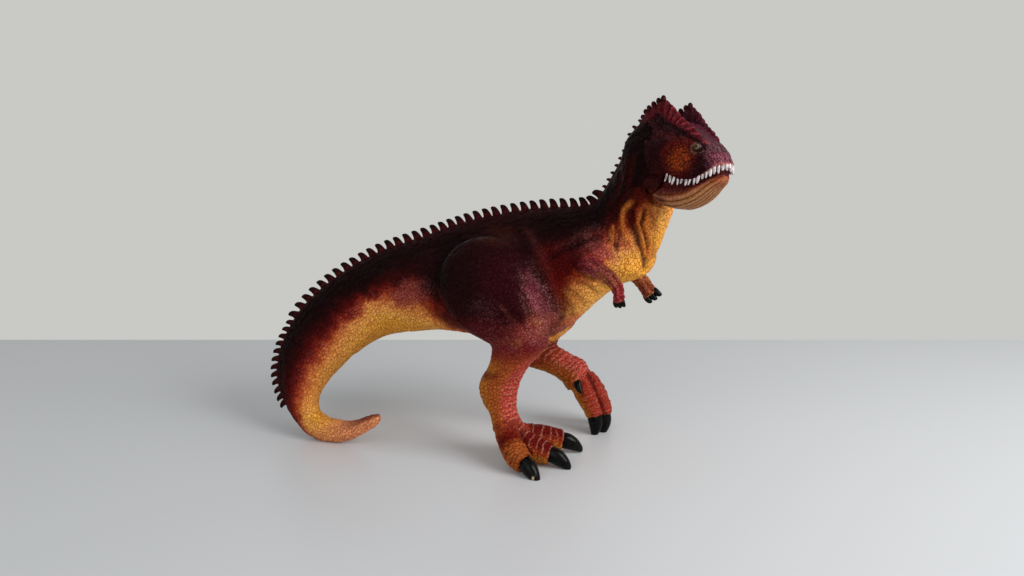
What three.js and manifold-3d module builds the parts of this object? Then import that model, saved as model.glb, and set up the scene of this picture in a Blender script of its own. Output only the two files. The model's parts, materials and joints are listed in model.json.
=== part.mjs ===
// A solid moulded toy figure of a large meat-eating dinosaur that strides over its own curled tail.
// Millimetres. +X is the way the trunk points, +Y its left side, +Z up; the table is at zero height.
import * as THREE from 'three';
import { mergeVertices } from 'three/addons/utils/BufferGeometryUtils.js';
import Module from 'manifold-3d';

const wasm = await Module();
wasm.setup();

// Driving sizes of the body
const HIP_HEIGHT = 100;
const BACK_LENGTH = 100;
const TRUNK_WIDTH = 50;
const NECK_SWING = 12;
const TAIL_SWING = 35;

// Driving sizes of the head and its hinge
const HEAD_HEIGHT = 50;
const HEAD_WIDTH = 27;
const HEAD_YAW = 28;
const HEAD_PITCH = 6;
const HEAD_ROLL = 8;
const TENON_LENGTH = 9;
const TENON_HEIGHT = 15;
const TENON_WIDTH = 12;
const PIN_DIAMETER = 2.4;
const PIN_LENGTH = 20;
const BARREL_DIAMETER = 9.6;
const BARREL_WIDTH = 16;
const CHEEK_DIAMETER = 14;
const MOUTH_OPENING = 24;

// Driving sizes of the limbs, spines, teeth and knobs
const LEG_WIDTH = 26;
const LEG_SPREAD = 26;
const TOE_WIDTH = 12;
const CLAW_LENGTH = 11;
const CLAW_WIDTH = 7.5;
const DEWCLAW_LENGTH = 7;
const DEWCLAW_WIDTH = 4.4;
const ARM_LENGTH = 40;
const ARM_WIDTH = 10;
const SPINE_HEIGHT = 3.6;
const SPINE_LENGTH = 4.8;
const SPINE_WIDTH = 2.8;
const TOOTH_LENGTH = 4;
const TOOTH_WIDTH = 2.2;
const KNOB_DIAMETER = 2.6;
const CREST_WIDTH = 2.8;
const EYE_DIAMETER = 4.4;

// Fits: glued seams, the jaw's running clearance, and the overrun of every cut
const SEAM_GAP = 0.35;
const RUNNING_GAP = 0.4;
const OVERRUN = 5;

// Facets: sides of a limb, a claw, a pin and a knob, and steps along each loft
const TORSO_STEPS = 48;
const LEG_STEPS = 21;
const TOE_STEPS = 6;
const ARM_STEPS = 6;
const SKULL_STEPS = 16;
const LIMB_SIDES = 13;
const TOE_SIDES = 10;
const CLAW_SIDES = 8;
const ROUND_SIDES = 24;
const SPINE_SIDES = 5;
const TOOTH_SIDES = 5;

// Half sections, from the top's middle round to the bottom's middle: sideways share, height share
const trunkSectionShares = [
  [0, 1], [0.17, 0.985], [0.36, 0.94], [0.58, 0.85], [0.78, 0.73], [0.92, 0.59],
  [1, 0.44], [0.985, 0.3], [0.88, 0.17], [0.68, 0.08], [0.38, 0.02], [0, 0],
];
const skullSectionShares = [
  [0, 0.97], [0.3, 0.98], [0.56, 0.97], [0.7, 0.9], [0.79, 0.79], [0.9, 0.65],
  [0.98, 0.5], [1, 0.36], [0.97, 0.2], [0.93, 0.08], [0.88, 0], [0.45, 0], [0, 0],
];
const jawSectionShares = [
  [0, 1], [0.4, 1], [0.72, 1], [0.8, 0.94], [0.83, 0.74], [0.97, 0.52],
  [1, 0.36], [0.9, 0.17], [0.66, 0.05], [0.34, 0], [0, 0],
];

// Neck and trunk stations, head to tail: the back's line along and up, the belly's line along and
// up, the swing to the right as a share of NECK_SWING, and half the width as a share of TRUNK_WIDTH
const neckShares = [
  [0.76, 1.605, 0.87, 1.35, 1.24, 0.23],
  [0.672, 1.605, 0.8, 1.29, 1.06, 0.245],
  [0.602, 1.548, 0.742, 1.19, 0.8, 0.262],
  [0.567, 1.465, 0.744, 1.12, 0.56, 0.28],
  [0.512, 1.365, 0.724, 1.045, 0.34, 0.292],
  [0.455, 1.278, 0.7, 0.975, 0.16, 0.316],
  [0.405, 1.225, 0.684, 0.915, 0.04, 0.35],
];
const trunkShares = [
  [0.335, 1.207, 0.63, 0.878, 0, 0.388],
  [0.26, 1.202, 0.56, 0.848, 0, 0.42],
  [0.17, 1.195, 0.471, 0.786, 0, 0.44],
  [0.08, 1.183, 0.389, 0.707, 0, 0.452],
  [-0.01, 1.168, 0.306, 0.626, 0, 0.452],
  [-0.1, 1.15, 0.21, 0.56, 0, 0.44],
  [-0.2, 1.125, 0.08, 0.515, 0, 0.42],
  [-0.305, 1.092, -0.085, 0.53, 0, 0.395],
  [-0.41, 1.055, -0.255, 0.55, 0, 0.37],
];

// Tail stations, root to tip: as above, with the swing as a share of TAIL_SWING
const tailShares = [
  [-0.505, 1.02, -0.4, 0.548, 0, 0.35],
  [-0.61, 0.985, -0.52, 0.53, 0.02, 0.33],
  [-0.72, 0.943, -0.61, 0.515, 0.04, 0.315],
  [-0.825, 0.89, -0.69, 0.492, 0.07, 0.3],
  [-0.92, 0.834, -0.757, 0.462, 0.13, 0.285],
  [-1.01, 0.768, -0.818, 0.42, 0.2, 0.27],
  [-1.09, 0.695, -0.872, 0.375, 0.28, 0.255],
  [-1.155, 0.618, -0.918, 0.325, 0.37, 0.24],
  [-1.195, 0.54, -0.963, 0.27, 0.46, 0.225],
  [-1.228, 0.46, -0.987, 0.226, 0.55, 0.208],
  [-1.242, 0.38, -0.992, 0.192, 0.64, 0.19],
  [-1.232, 0.3, -0.98, 0.167, 0.74, 0.17],
  [-1.2, 0.22, -0.96, 0.149, 0.82, 0.152],
  [-1.148, 0.148, -0.932, 0.137, 0.89, 0.14],
  [-1.083, 0.083, -0.9, 0.128, 0.94, 0.126],
  [-1.01, 0.025, -0.866, 0.122, 0.98, 0.114],
  [-0.92, -0.002, -0.825, 0.12, 1, 0.102],
  [-0.83, -0.004, -0.778, 0.121, 1, 0.09],
  [-0.735, 0.022, -0.724, 0.128, 1, 0.074],
  [-0.655, 0.066, -0.67, 0.149, 1, 0.054],
  [-0.59, 0.113, -0.617, 0.173, 1, 0.038],
  [-0.556, 0.15, -0.57, 0.184, 1, 0.022],
];

// The rows of fins: from and to along the back's line, how many, and their size
const spineRowShares = [
  [0.035, 0.135, 10, 0.65],
  [0.148, 0.4, 19, 1],
  [0.415, 0.66, 17, 1.05],
  [0.674, 0.8, 12, 0.8],
];
// One fin, base to tip: height, lean to the tail, half length, half width
const spineShares = [
  [-0.6, 0, 0.5, 0.5], [0.4, 0.1, 0.4, 0.42], [1, 0.26, 0.2, 0.24],
];

// Leg stations, hip to ankle: the front's line along and up, the rear's line along and up, the
// place outwards as a share of LEG_SPREAD, and half the width as a share of LEG_WIDTH
const rightLegShares = [
  [0.0, 1.1, -0.12, 1.085, 0.88, 0.14],
  [0.12, 1.06, -0.26, 0.98, 0.94, 0.34],
  [0.18, 0.98, -0.29, 0.87, 1, 0.45],
  [0.22, 0.88, -0.27, 0.765, 1.03, 0.5],
  [0.258, 0.78, -0.2, 0.67, 1.04, 0.5],
  [0.28, 0.68, -0.095, 0.618, 1.03, 0.47],
  [0.272, 0.6, -0.008, 0.58, 1.01, 0.42],
  [0.24, 0.545, -0.01, 0.5, 0.99, 0.37],
  [0.19, 0.49, -0.036, 0.438, 0.97, 0.335],
  [0.145, 0.425, -0.066, 0.388, 0.95, 0.315],
  [0.12, 0.365, -0.074, 0.335, 0.94, 0.31],
  [0.108, 0.305, -0.052, 0.275, 0.94, 0.3],
  [0.108, 0.25, -0.012, 0.215, 0.95, 0.31],
  [0.125, 0.2, 0.006, 0.15, 0.96, 0.34],
  [0.16, 0.155, 0.035, 0.09, 0.96, 0.36],
];
const leftLegShares = [
  [0.03, 1.1, -0.09, 1.09, 0.88, 0.14],
  [0.16, 1.05, -0.22, 0.99, 0.94, 0.34],
  [0.22, 0.97, -0.27, 0.87, 1, 0.45],
  [0.26, 0.87, -0.26, 0.75, 1.03, 0.5],
  [0.295, 0.78, -0.2, 0.64, 1.03, 0.49],
  [0.305, 0.695, -0.09, 0.57, 1.02, 0.45],
  [0.275, 0.61, -0.035, 0.5, 1, 0.4],
  [0.225, 0.535, -0.055, 0.44, 0.97, 0.36],
  [0.17, 0.485, -0.05, 0.375, 0.94, 0.33],
  [0.16, 0.452, 0.01, 0.325, 0.92, 0.31],
  [0.205, 0.422, 0.08, 0.31, 0.92, 0.3],
  [0.26, 0.397, 0.15, 0.288, 0.92, 0.3],
  [0.312, 0.375, 0.2, 0.255, 0.92, 0.32],
  [0.338, 0.325, 0.232, 0.215, 0.92, 0.33],
];

// Toes, each from the foot's middle to the claw: along and up as shares of HIP_HEIGHT, the place
// sideways of the leg as a share of TOE_WIDTH, and half the height and width as shares of it
const rightToeShares = {
  outer: [
    [0.07, 0.17, 0.15, 0.55, 0.5], [0.115, 0.11, 0.55, 0.54, 0.5], [0.16, 0.07, 0.88, 0.5, 0.48],
    [0.205, 0.052, 1.08, 0.43, 0.42],
  ],
  middle: [
    [0.06, 0.15, 0, 0.6, 0.52], [0.14, 0.105, 0.03, 0.56, 0.5], [0.22, 0.075, 0.03, 0.5, 0.48],
    [0.29, 0.06, 0.03, 0.43, 0.42],
  ],
  inner: [
    [0.06, 0.12, -0.3, 0.55, 0.5], [0.14, 0.094, -0.75, 0.55, 0.5], [0.225, 0.078, -1.15, 0.52, 0.48],
    [0.295, 0.066, -1.4, 0.45, 0.44],
  ],
};
const leftToeShares = {
  outer: [
    [0.3, 0.27, 0.35, 0.5, 0.45], [0.345, 0.2, 0.55, 0.5, 0.44], [0.375, 0.135, 0.68, 0.43, 0.4],
    [0.39, 0.085, 0.75, 0.36, 0.36],
  ],
  middle: [
    [0.288, 0.28, 0, 0.6, 0.48], [0.344, 0.212, 0, 0.54, 0.46], [0.394, 0.147, 0, 0.5, 0.44],
    [0.412, 0.096, 0, 0.46, 0.44],
  ],
  inner: [
    [0.29, 0.27, -0.25, 0.5, 0.45], [0.332, 0.205, -0.35, 0.48, 0.44], [0.364, 0.145, -0.4, 0.42, 0.4],
    [0.38, 0.1, -0.42, 0.34, 0.36],
  ],
};

// Dewclaws on the inner side of the right and the left foot: along and up as shares of HIP_HEIGHT,
// sideways of the leg as a share of TOE_WIDTH; and the way they point: onward, inwards and down
const rightDewclawShares = [0.03, 0.185, -0.7];
const leftDewclawShares = [0.3, 0.28, -0.76];
const dewclawTurnShares = [0.15, 0.6, 1];

// Arms: along and up from the shoulder as shares of ARM_LENGTH, the place outwards as a share of
// TRUNK_WIDTH, and half the height and width as shares of ARM_WIDTH
const shoulderShares = [0.47, 1.02];
const rightArmShares = {
  upper: [
    [0.2, 0.12, 0.3, 0.5, 0.42], [0.06, 0.0, 0.41, 0.58, 0.46], [-0.1, -0.12, 0.48, 0.52, 0.42],
    [-0.2, -0.19, 0.51, 0.42, 0.36],
  ],
  fore: [
    [-0.22, -0.13, 0.5, 0.34, 0.34], [-0.04, -0.13, 0.53, 0.38, 0.36], [0.13, -0.19, 0.55, 0.36, 0.35],
    [0.25, -0.28, 0.56, 0.33, 0.32], [0.31, -0.39, 0.56, 0.3, 0.3], [0.325, -0.51, 0.56, 0.28, 0.28],
  ],
};
const leftArmShares = {
  upper: [
    [0.2, 0.12, 0.3, 0.5, 0.42], [0.1, -0.04, 0.4, 0.56, 0.46], [0.02, -0.18, 0.46, 0.5, 0.42],
    [-0.02, -0.26, 0.48, 0.42, 0.36],
  ],
  fore: [
    [-0.05, -0.24, 0.48, 0.36, 0.34], [0.08, -0.3, 0.48, 0.44, 0.38], [0.22, -0.4, 0.47, 0.42, 0.38],
    [0.355, -0.53, 0.46, 0.38, 0.39], [0.455, -0.655, 0.45, 0.37, 0.44],
  ],
};

// Skull stations, neck to snout: along, top and lip as shares of HEAD_HEIGHT, and half the width
// as a share of HEAD_WIDTH
const headPlaceShares = [0.76, 1.285, 1.225];
const skullShares = [
  [-0.15, 0.615, 0.13, 0.44], [-0.08, 0.635, 0.136, 0.475], [0, 0.642, 0.138, 0.494],
  [0.1, 0.636, 0.136, 0.5], [0.2, 0.61, 0.13, 0.495], [0.3, 0.552, 0.108, 0.47],
  [0.4, 0.476, 0.114, 0.42], [0.475, 0.412, 0.138, 0.375], [0.535, 0.355, 0.176, 0.325],
  [0.585, 0.31, 0.21, 0.262], [0.62, 0.275, 0.222, 0.185], [0.642, 0.25, 0.228, 0.09],
];
const jawShares = [
  [-0.15, 0.13, 0.08, 0.4], [-0.08, 0.136, 0.03, 0.43], [-0.02, 0.138, -0.03, 0.445],
  [0.05, 0.138, -0.09, 0.45], [0.12, 0.134, -0.128, 0.445], [0.22, 0.122, -0.14, 0.42],
  [0.31, 0.108, -0.118, 0.38], [0.4, 0.114, -0.078, 0.325], [0.475, 0.138, -0.03, 0.265],
  [0.535, 0.168, 0.016, 0.21], [0.588, 0.18, 0.046, 0.148], [0.618, 0.168, 0.074, 0.08],
];
const crestShares = [
  [-0.14, 0.645, 0.48, 0.3, 0.42], [-0.1, 0.68, 0.48, 0.318, 0.45],
  [-0.03, 0.71, 0.48, 0.34, 0.5], [0.045, 0.745, 0.48, 0.352, 0.5], [0.115, 0.765, 0.48, 0.355, 0.52],
  [0.172, 0.73, 0.44, 0.35, 0.56], [0.222, 0.675, 0.4, 0.335, 0.6], [0.275, 0.612, 0.36, 0.312, 0.62],
  [0.34, 0.552, 0.32, 0.28, 0.62], [0.41, 0.486, 0.28, 0.25, 0.55], [0.47, 0.412, 0.24, 0.215, 0.36],
];
// Knobs on each crest: along and up as shares of HEAD_HEIGHT
const knobShares = [
  [-0.13, 0.65], [-0.095, 0.69], [-0.052, 0.714], [0, 0.738], [0.052, 0.76], [0.098, 0.774],
];
const cheekRiseShare = 0.1;
const jawTurnShares = [0, 0.25, 0.5, 0.75, 1, 1.05];
const hingeShares = [-0.01, 0.1];
// Claws, base to tip: along, drop, half the size as a share of CLAW_WIDTH, and how flat they are
const clawShares = [[-0.2, 0, 0.44], [0.12, 0.02, 0.5], [0.48, 0.12, 0.42], [0.78, 0.3, 0.27], [0.94, 0.44, 0.12]];
const clawFlatShare = 0.84;
// Fingers, wrist to claw tip: along, spread and half the size as shares of ARM_WIDTH
const fingerShares = [[-0.3, 0.14, 0.2], [0.1, 0.15, 0.2], [0.28, 0.16, 0.18], [0.4, 0.16, 0.1]];
// Each tooth: how much of it is rooted in the lip, and how far the row is inside the lip
const toothRootShare = 0.3;
const toothPitchShare = 1.06;
const toothTipShare = 0.4;
const lipShare = 0.86;
const eyeShares = [0.47, 0.34, 0.335];
const tenonShare = 0.41;

const up = new THREE.Vector3(0, 0, 1);
const left = new THREE.Vector3(0, 1, 0);


// A closed mesh of points and faces as a solid, turned outwards if its faces point inwards.
function solidFromMesh(positions, faces) {
  const corner = (index) => new THREE.Vector3().fromArray(positions, 3 * index);
  let volume = 0;
  for (let i = 0; i < faces.length; i += 3) {
    const [a, b, c] = [corner(faces[i]), corner(faces[i + 1]), corner(faces[i + 2])];
    volume += a.dot(b.cross(c));
  }
  const triVerts = Uint32Array.from(volume < 0 ? [...faces].reverse() : faces);
  const vertProperties = Float32Array.from(positions);
  return new wasm.Manifold(new wasm.Mesh({ numProp: 3, vertProperties, triVerts }));
}

// A closed three.js geometry, placed by a matrix, as a solid.
function solidFromGeometry(geometry, matrix = new THREE.Matrix4()) {
  const placed = geometry.clone().applyMatrix4(matrix);
  placed.deleteAttribute('normal');
  placed.deleteAttribute('uv');
  const merged = mergeVertices(placed);
  return solidFromMesh(Array.from(merged.attributes.position.array), Array.from(merged.index.array));
}

// A closed skin through rings of points, with a fan to the middle of each end ring.
function solidFromRings(rings) {
  const sides = rings[0].length;
  const middleOf = (ring) => ring.reduce((sum, point) => sum.add(point), new THREE.Vector3())
    .divideScalar(ring.length);
  const points = [...rings.flat(), middleOf(rings[0]), middleOf(rings.at(-1))];
  const startMiddle = points.length - 2;
  const endMiddle = points.length - 1;
  const endRing = (rings.length - 1) * sides;
  const faces = [];
  for (let side = 0; side < sides; side += 1) {
    const next = (side + 1) % sides;
    for (let ring = 0; ring + 1 < rings.length; ring += 1) {
      const here = ring * sides;
      const there = here + sides;
      faces.push(here + side, here + next, there + next);
      faces.push(here + side, there + next, there + side);
    }
    faces.push(startMiddle, next, side);
    faces.push(endMiddle, endRing + side, endRing + next);
  }
  return solidFromMesh(points.flatMap((point) => point.toArray()), faces);
}

// A half section's shares as a full round of [sideways, height] shares.
function fullSection(halfSection) {
  const otherSide = halfSection.slice(1, -1).reverse().map(([side, height]) => [-side, height]);
  return [...halfSection, ...otherSide];
}

// A round section of so many sides.
function roundSection(sides) {
  return Array.from({ length: sides }, (_, i) => {
    const angle = 2 * Math.PI * i / sides;
    return [Math.sin(angle), (1 + Math.cos(angle)) / 2];
  });
}

// Stations {high, low, halfWidth} sampled along smooth curves through them.
function sampleStations(stations, steps) {
  const highCurve = new THREE.CatmullRomCurve3(stations.map((station) => station.high));
  const lowCurve = new THREE.CatmullRomCurve3(stations.map((station) => station.low));
  const widthCurve = new THREE.CatmullRomCurve3(
    stations.map((station) => new THREE.Vector3(station.halfWidth, 0, 0)));
  return Array.from({ length: steps + 1 }, (_, i) => {
    const share = i / steps;
    return {
      high: highCurve.getPoint(share),
      low: lowCurve.getPoint(share),
      halfWidth: widthCurve.getPoint(share).x,
    };
  });
}

// Each station with its middle, the way on along the path, and the sideways direction.
function orientStations(stations) {
  const middles = stations.map(({ high, low }) => high.clone().add(low).divideScalar(2));
  return stations.map((station, i) => {
    const before = middles[Math.max(i - 1, 0)];
    const after = middles[Math.min(i + 1, middles.length - 1)];
    const onward = after.clone().sub(before).normalize();
    const upward = station.high.clone().sub(station.low).normalize();
    const sideways = station.sideways ?? upward.clone().cross(onward).normalize();
    return { ...station, onward, upward, sideways };
  });
}

// A station's ring of points; grow moves it outwards all round.
function stationRing({ high, low, halfWidth, upward, sideways }, section, grow = 0) {
  const bottom = low.clone().addScaledVector(upward, -grow);
  const height = high.clone().addScaledVector(upward, grow).sub(bottom);
  return section.map(([side, rise]) => bottom.clone()
    .addScaledVector(height, rise)
    .addScaledVector(sideways, side * (halfWidth + grow)));
}

// A loft of a section through stations; grow makes it fatter and longer, for a recess round it.
function loftSolid(stations, section, grow = 0) {
  const oriented = orientStations(stations);
  const rings = oriented.map((station) => stationRing(station, section, grow));
  rings[0].forEach((point) => point.addScaledVector(oriented[0].onward, -grow));
  rings.at(-1).forEach((point) => point.addScaledVector(oriented.at(-1).onward, grow));
  return solidFromRings(rings);
}

// Stations round a path of places, each with half a height and half a width across the path.
function pathStations(path, steps) {
  const curve = new THREE.CatmullRomCurve3(path.map(({ place }) => place));
  const sizes = new THREE.CatmullRomCurve3(
    path.map(({ halfHeight, halfWidth }) => new THREE.Vector3(halfHeight, halfWidth, 0)));
  return Array.from({ length: steps + 1 }, (_, i) => {
    const share = i / steps;
    const place = curve.getPoint(share);
    const onward = curve.getTangent(share);
    const upward = up.clone().addScaledVector(onward, -up.dot(onward)).normalize();
    const { x: halfHeight, y: halfWidth } = sizes.getPoint(share);
    return {
      high: place.clone().addScaledVector(upward, halfHeight),
      low: place.clone().addScaledVector(upward, -halfHeight),
      halfWidth,
    };
  });
}

// The solids of a list joined into one.
function joined(solids) {
  return solids.reduce((sum, solid) => sum.add(solid));
}

// A round bar across the head, centred on the hinge.
function crossBar(diameter, length, sides = ROUND_SIDES) {
  const bar = new THREE.CylinderGeometry(diameter / 2, diameter / 2, length, sides);
  return solidFromGeometry(bar, new THREE.Matrix4().makeTranslation(hingePlace));
}

// A box by its two opposite corners.
function boxBetween(near, far) {
  const size = far.clone().sub(near);
  const box = new THREE.BoxGeometry(size.x, size.y, size.z);
  return solidFromGeometry(box, new THREE.Matrix4().makeTranslation(near.clone().add(far).divideScalar(2)));
}

// The head's own frame, +X to the snout, +Y to its left, +Z to its crown
const headMatrix = new THREE.Matrix4();
const headTurn = new THREE.Euler(
  THREE.MathUtils.degToRad(-HEAD_ROLL), THREE.MathUtils.degToRad(-HEAD_PITCH),
  THREE.MathUtils.degToRad(-HEAD_YAW), 'ZYX');
headMatrix.makeRotationFromEuler(headTurn);
headMatrix.setPosition(
  BACK_LENGTH * headPlaceShares[0], -NECK_SWING * headPlaceShares[2], HIP_HEIGHT * headPlaceShares[1]);
const hingePlace = new THREE.Vector3(HEAD_HEIGHT * hingeShares[0], 0, HEAD_HEIGHT * hingeShares[1]);
const headRear = HEAD_HEIGHT * skullShares[0][0];

// Neck, trunk and tail stations from a table, on the side that the neck or the tail swings to.
function bodyStations(rows, swing) {
  return rows.map(([highAlong, highUp, lowAlong, lowUp, swingShare, widthShare]) => ({
    high: new THREE.Vector3(BACK_LENGTH * highAlong, -swing * swingShare, HIP_HEIGHT * highUp),
    low: new THREE.Vector3(BACK_LENGTH * lowAlong, -swing * swingShare, HIP_HEIGHT * lowUp),
    halfWidth: TRUNK_WIDTH * widthShare,
  }));
}

// The tenon that carries the head, or with a gap the mortise for it.
function tenonSolid(gap) {
  const middle = HEAD_HEIGHT * tenonShare;
  const path = [headRear - OVERRUN, headRear + TENON_LENGTH + gap].map((along) => ({
    high: new THREE.Vector3(along, 0, middle + TENON_HEIGHT / 2 + gap),
    low: new THREE.Vector3(along, 0, middle - TENON_HEIGHT / 2 - gap),
    halfWidth: TENON_WIDTH / 2 + gap,
  }));
  return loftSolid(path, roundSection(LIMB_SIDES));
}

// A solid made in the head's frame, moved to its place on the neck.
function inHeadPlace(solid) {
  return solid.transform(headMatrix.toArray());
}

// One fin at a place on the back, leaning to the tail.
function spineSolid(place, onward, upward, sizeShare) {
  const sideways = upward.clone().cross(onward).normalize();
  const rings = spineShares.map(([rise, lean, lengthShare, widthShare]) => {
    const middle = place.clone()
      .addScaledVector(upward, SPINE_HEIGHT * sizeShare * rise)
      .addScaledVector(onward, SPINE_LENGTH * sizeShare * lean);
    return roundSection(SPINE_SIDES).map(([side, along]) => middle.clone()
      .addScaledVector(sideways, SPINE_WIDTH * sizeShare * widthShare * side)
      .addScaledVector(onward, SPINE_LENGTH * sizeShare * lengthShare * (2 * along - 1)));
  });
  return solidFromRings(rings);
}

// The rows of fins along the back's line of the sampled stations.
function spineSolids(stations) {
  const oriented = orientStations(stations);
  const backLine = new THREE.CatmullRomCurve3(oriented.map((station) => station.high));
  const upLine = new THREE.CatmullRomCurve3(oriented.map((station) => station.upward));
  return spineRowShares.flatMap(([from, to, count, sizeShare]) => (
    Array.from({ length: count }, (_, i) => {
      const share = from + (to - from) * i / (count - 1);
      const onward = backLine.getTangentAt(share);
      const upward = upLine.getPoint(backLine.getUtoTmapping(share));
      upward.addScaledVector(onward, -upward.dot(onward)).normalize();
      return spineSolid(backLine.getPointAt(share), onward, upward, sizeShare);
    })
  ));
}

// Leg stations from a table, on the side that the sign gives: -1 right, 1 left.
function legStations(rows, sign) {
  return rows.map(([frontAlong, frontUp, rearAlong, rearUp, outShare, widthShare]) => ({
    high: new THREE.Vector3(HIP_HEIGHT * frontAlong, sign * LEG_SPREAD * outShare, HIP_HEIGHT * frontUp),
    low: new THREE.Vector3(HIP_HEIGHT * rearAlong, sign * LEG_SPREAD * outShare, HIP_HEIGHT * rearUp),
    halfWidth: LEG_WIDTH * widthShare,
  }));
}

// The thigh, shank and ankle; a grown one cuts the recess in the trunk.
function legSolid(rows, sign, grow = 0) {
  const stations = sampleStations(legStations(rows, sign), LEG_STEPS);
  return loftSolid(stations, roundSection(LIMB_SIDES), grow);
}

// A curved claw from a toe's last place, dropping to the table.
function clawSolid(place, onward, dropShare, length = CLAW_LENGTH, width = CLAW_WIDTH) {
  const path = clawShares.map(([along, drop, sizeShare]) => ({
    place: place.clone()
      .addScaledVector(onward, length * along)
      .addScaledVector(up, -length * drop * dropShare),
    halfHeight: width * sizeShare,
    halfWidth: width * sizeShare * clawFlatShare,
  }));
  return loftSolid(pathStations(path, path.length - 1), roundSection(CLAW_SIDES));
}

// A toe with its claw, on the side that the sign gives.
function toeSolid(rows, sign, clawDropShare) {
  const path = rows.map(([along, rise, outShare, heightShare, widthShare]) => ({
    place: new THREE.Vector3(
      HIP_HEIGHT * along, sign * (LEG_SPREAD + TOE_WIDTH * outShare), HIP_HEIGHT * rise),
    halfHeight: TOE_WIDTH * heightShare,
    halfWidth: TOE_WIDTH * widthShare,
  }));
  const toe = loftSolid(pathStations(path, TOE_STEPS), roundSection(TOE_SIDES));
  const tip = path.at(-1).place;
  const onward = tip.clone().sub(path.at(-2).place).normalize();
  return toe.add(clawSolid(tip, onward, clawDropShare));
}

// The small claw on a foot's inner side.
function dewclawSolid([along, rise, outShare], sign) {
  const [forward, inward, down] = dewclawTurnShares;
  const place = new THREE.Vector3(
    HIP_HEIGHT * along, sign * (LEG_SPREAD + TOE_WIDTH * outShare), HIP_HEIGHT * rise);
  const onward = new THREE.Vector3(forward, -sign * inward, -down).normalize();
  return clawSolid(place, onward, 0, DEWCLAW_LENGTH, DEWCLAW_WIDTH);
}

// Everything below the table's top, cut away so that the figure stands flat.
function belowTable() {
  const reach = BACK_LENGTH + BACK_LENGTH;
  return boxBetween(new THREE.Vector3(-reach, -reach, -reach), new THREE.Vector3(reach, reach, 0));
}

// A whole leg: the limb, its three toes with their claws and its dewclaw.
function legWithFoot(legRows, toeRows, dewclawRow, sign) {
  const toes = Object.values(toeRows).map((rows) => toeSolid(rows, sign, 1));
  return joined([legSolid(legRows, sign), ...toes, dewclawSolid(dewclawRow, sign)])
    .subtract(belowTable());
}

// An arm's path from the shoulder, on the side that the sign gives.
function armPath(rows, sign) {
  const shoulder = new THREE.Vector3(BACK_LENGTH * shoulderShares[0], 0, HIP_HEIGHT * shoulderShares[1]);
  return rows.map(([along, rise, outShare, heightShare, widthShare]) => ({
    place: new THREE.Vector3(ARM_LENGTH * along, sign * TRUNK_WIDTH * outShare, ARM_LENGTH * rise)
      .add(shoulder),
    halfHeight: ARM_WIDTH * heightShare,
    halfWidth: ARM_WIDTH * widthShare,
  }));
}

// The upper arm and the forearm; grown ones cut the recess in the trunk.
function armSolid(armRows, sign, grow = 0) {
  return joined(Object.values(armRows).map((rows) => (
    loftSolid(pathStations(armPath(rows, sign), ARM_STEPS), roundSection(TOE_SIDES), grow))));
}

// Two fingers side by side past the wrist, each ending in a short claw.
function fingerSolids(rows, sign) {
  const path = armPath(rows, sign);
  const wrist = path.at(-1);
  const onward = wrist.place.clone().sub(path.at(-2).place).normalize();
  const across = onward.clone().cross(left).normalize();
  return [-1, 1].map((side) => {
    const finger = fingerShares.map(([along, spread, sizeShare]) => ({
      place: wrist.place.clone()
        .addScaledVector(onward, ARM_WIDTH * along)
        .addScaledVector(across, ARM_WIDTH * spread * side),
      halfHeight: ARM_WIDTH * sizeShare,
      halfWidth: ARM_WIDTH * sizeShare,
    }));
    return loftSolid(pathStations(finger, finger.length - 1), roundSection(CLAW_SIDES));
  });
}

// Stations across the head from a table of along, top, bottom and half width.
function headStations(rows) {
  return rows.map(([along, top, bottom, widthShare]) => ({
    high: new THREE.Vector3(HEAD_HEIGHT * along, 0, HEAD_HEIGHT * top),
    low: new THREE.Vector3(HEAD_HEIGHT * along, 0, HEAD_HEIGHT * bottom),
    halfWidth: HEAD_WIDTH * widthShare,
  }));
}

// A brow crest on one side: a thin comb that leans in to the snout, with knobs on its rear edge.
function crestSolid(sign) {
  const stations = crestShares.map(([along, top, bottom, outShare, widthShare]) => ({
    high: new THREE.Vector3(HEAD_HEIGHT * along, sign * HEAD_WIDTH * outShare, HEAD_HEIGHT * top),
    low: new THREE.Vector3(HEAD_HEIGHT * along, sign * HEAD_WIDTH * outShare, HEAD_HEIGHT * bottom),
    halfWidth: CREST_WIDTH * widthShare,
  }));
  const comb = loftSolid(stations, roundSection(TOE_SIDES));
  const knob = new THREE.IcosahedronGeometry(KNOB_DIAMETER / 2, 0);
  const knobs = knobShares.map(([along, rise], i) => solidFromGeometry(knob, new THREE.Matrix4()
    .makeTranslation(HEAD_HEIGHT * along, stations[i].high.y, HEAD_HEIGHT * rise)));
  return joined([comb, ...knobs]);
}

// The teeth, evenly spaced along the lip from one corner of the mouth round to the other.
function toothSolids() {
  const cheekFront = hingePlace.x + CHEEK_DIAMETER / 2;
  const side = headStations(skullShares).filter(({ high }) => high.x > cheekFront);
  const lip = side.map(({ low, halfWidth }) => (
    new THREE.Vector3(low.x, halfWidth * lipShare - TOOTH_WIDTH / 2, low.z)));
  const mirrored = lip.map((point) => new THREE.Vector3(point.x, -point.y, point.z)).reverse();
  const row = new THREE.CatmullRomCurve3([...lip, ...mirrored]);
  const count = Math.round(row.getLength() / (TOOTH_WIDTH * toothPitchShare));
  const tooth = new THREE.CylinderGeometry(
    TOOTH_WIDTH / 2, TOOTH_WIDTH * toothTipShare / 2, TOOTH_LENGTH, TOOTH_SIDES);
  tooth.rotateX(Math.PI / 2);
  return Array.from({ length: count + 1 }, (_, i) => {
    const place = row.getPointAt(i / count);
    place.z -= TOOTH_LENGTH * (1 / 2 - toothRootShare);
    return solidFromGeometry(tooth, new THREE.Matrix4().makeTranslation(place));
  });
}

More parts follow.
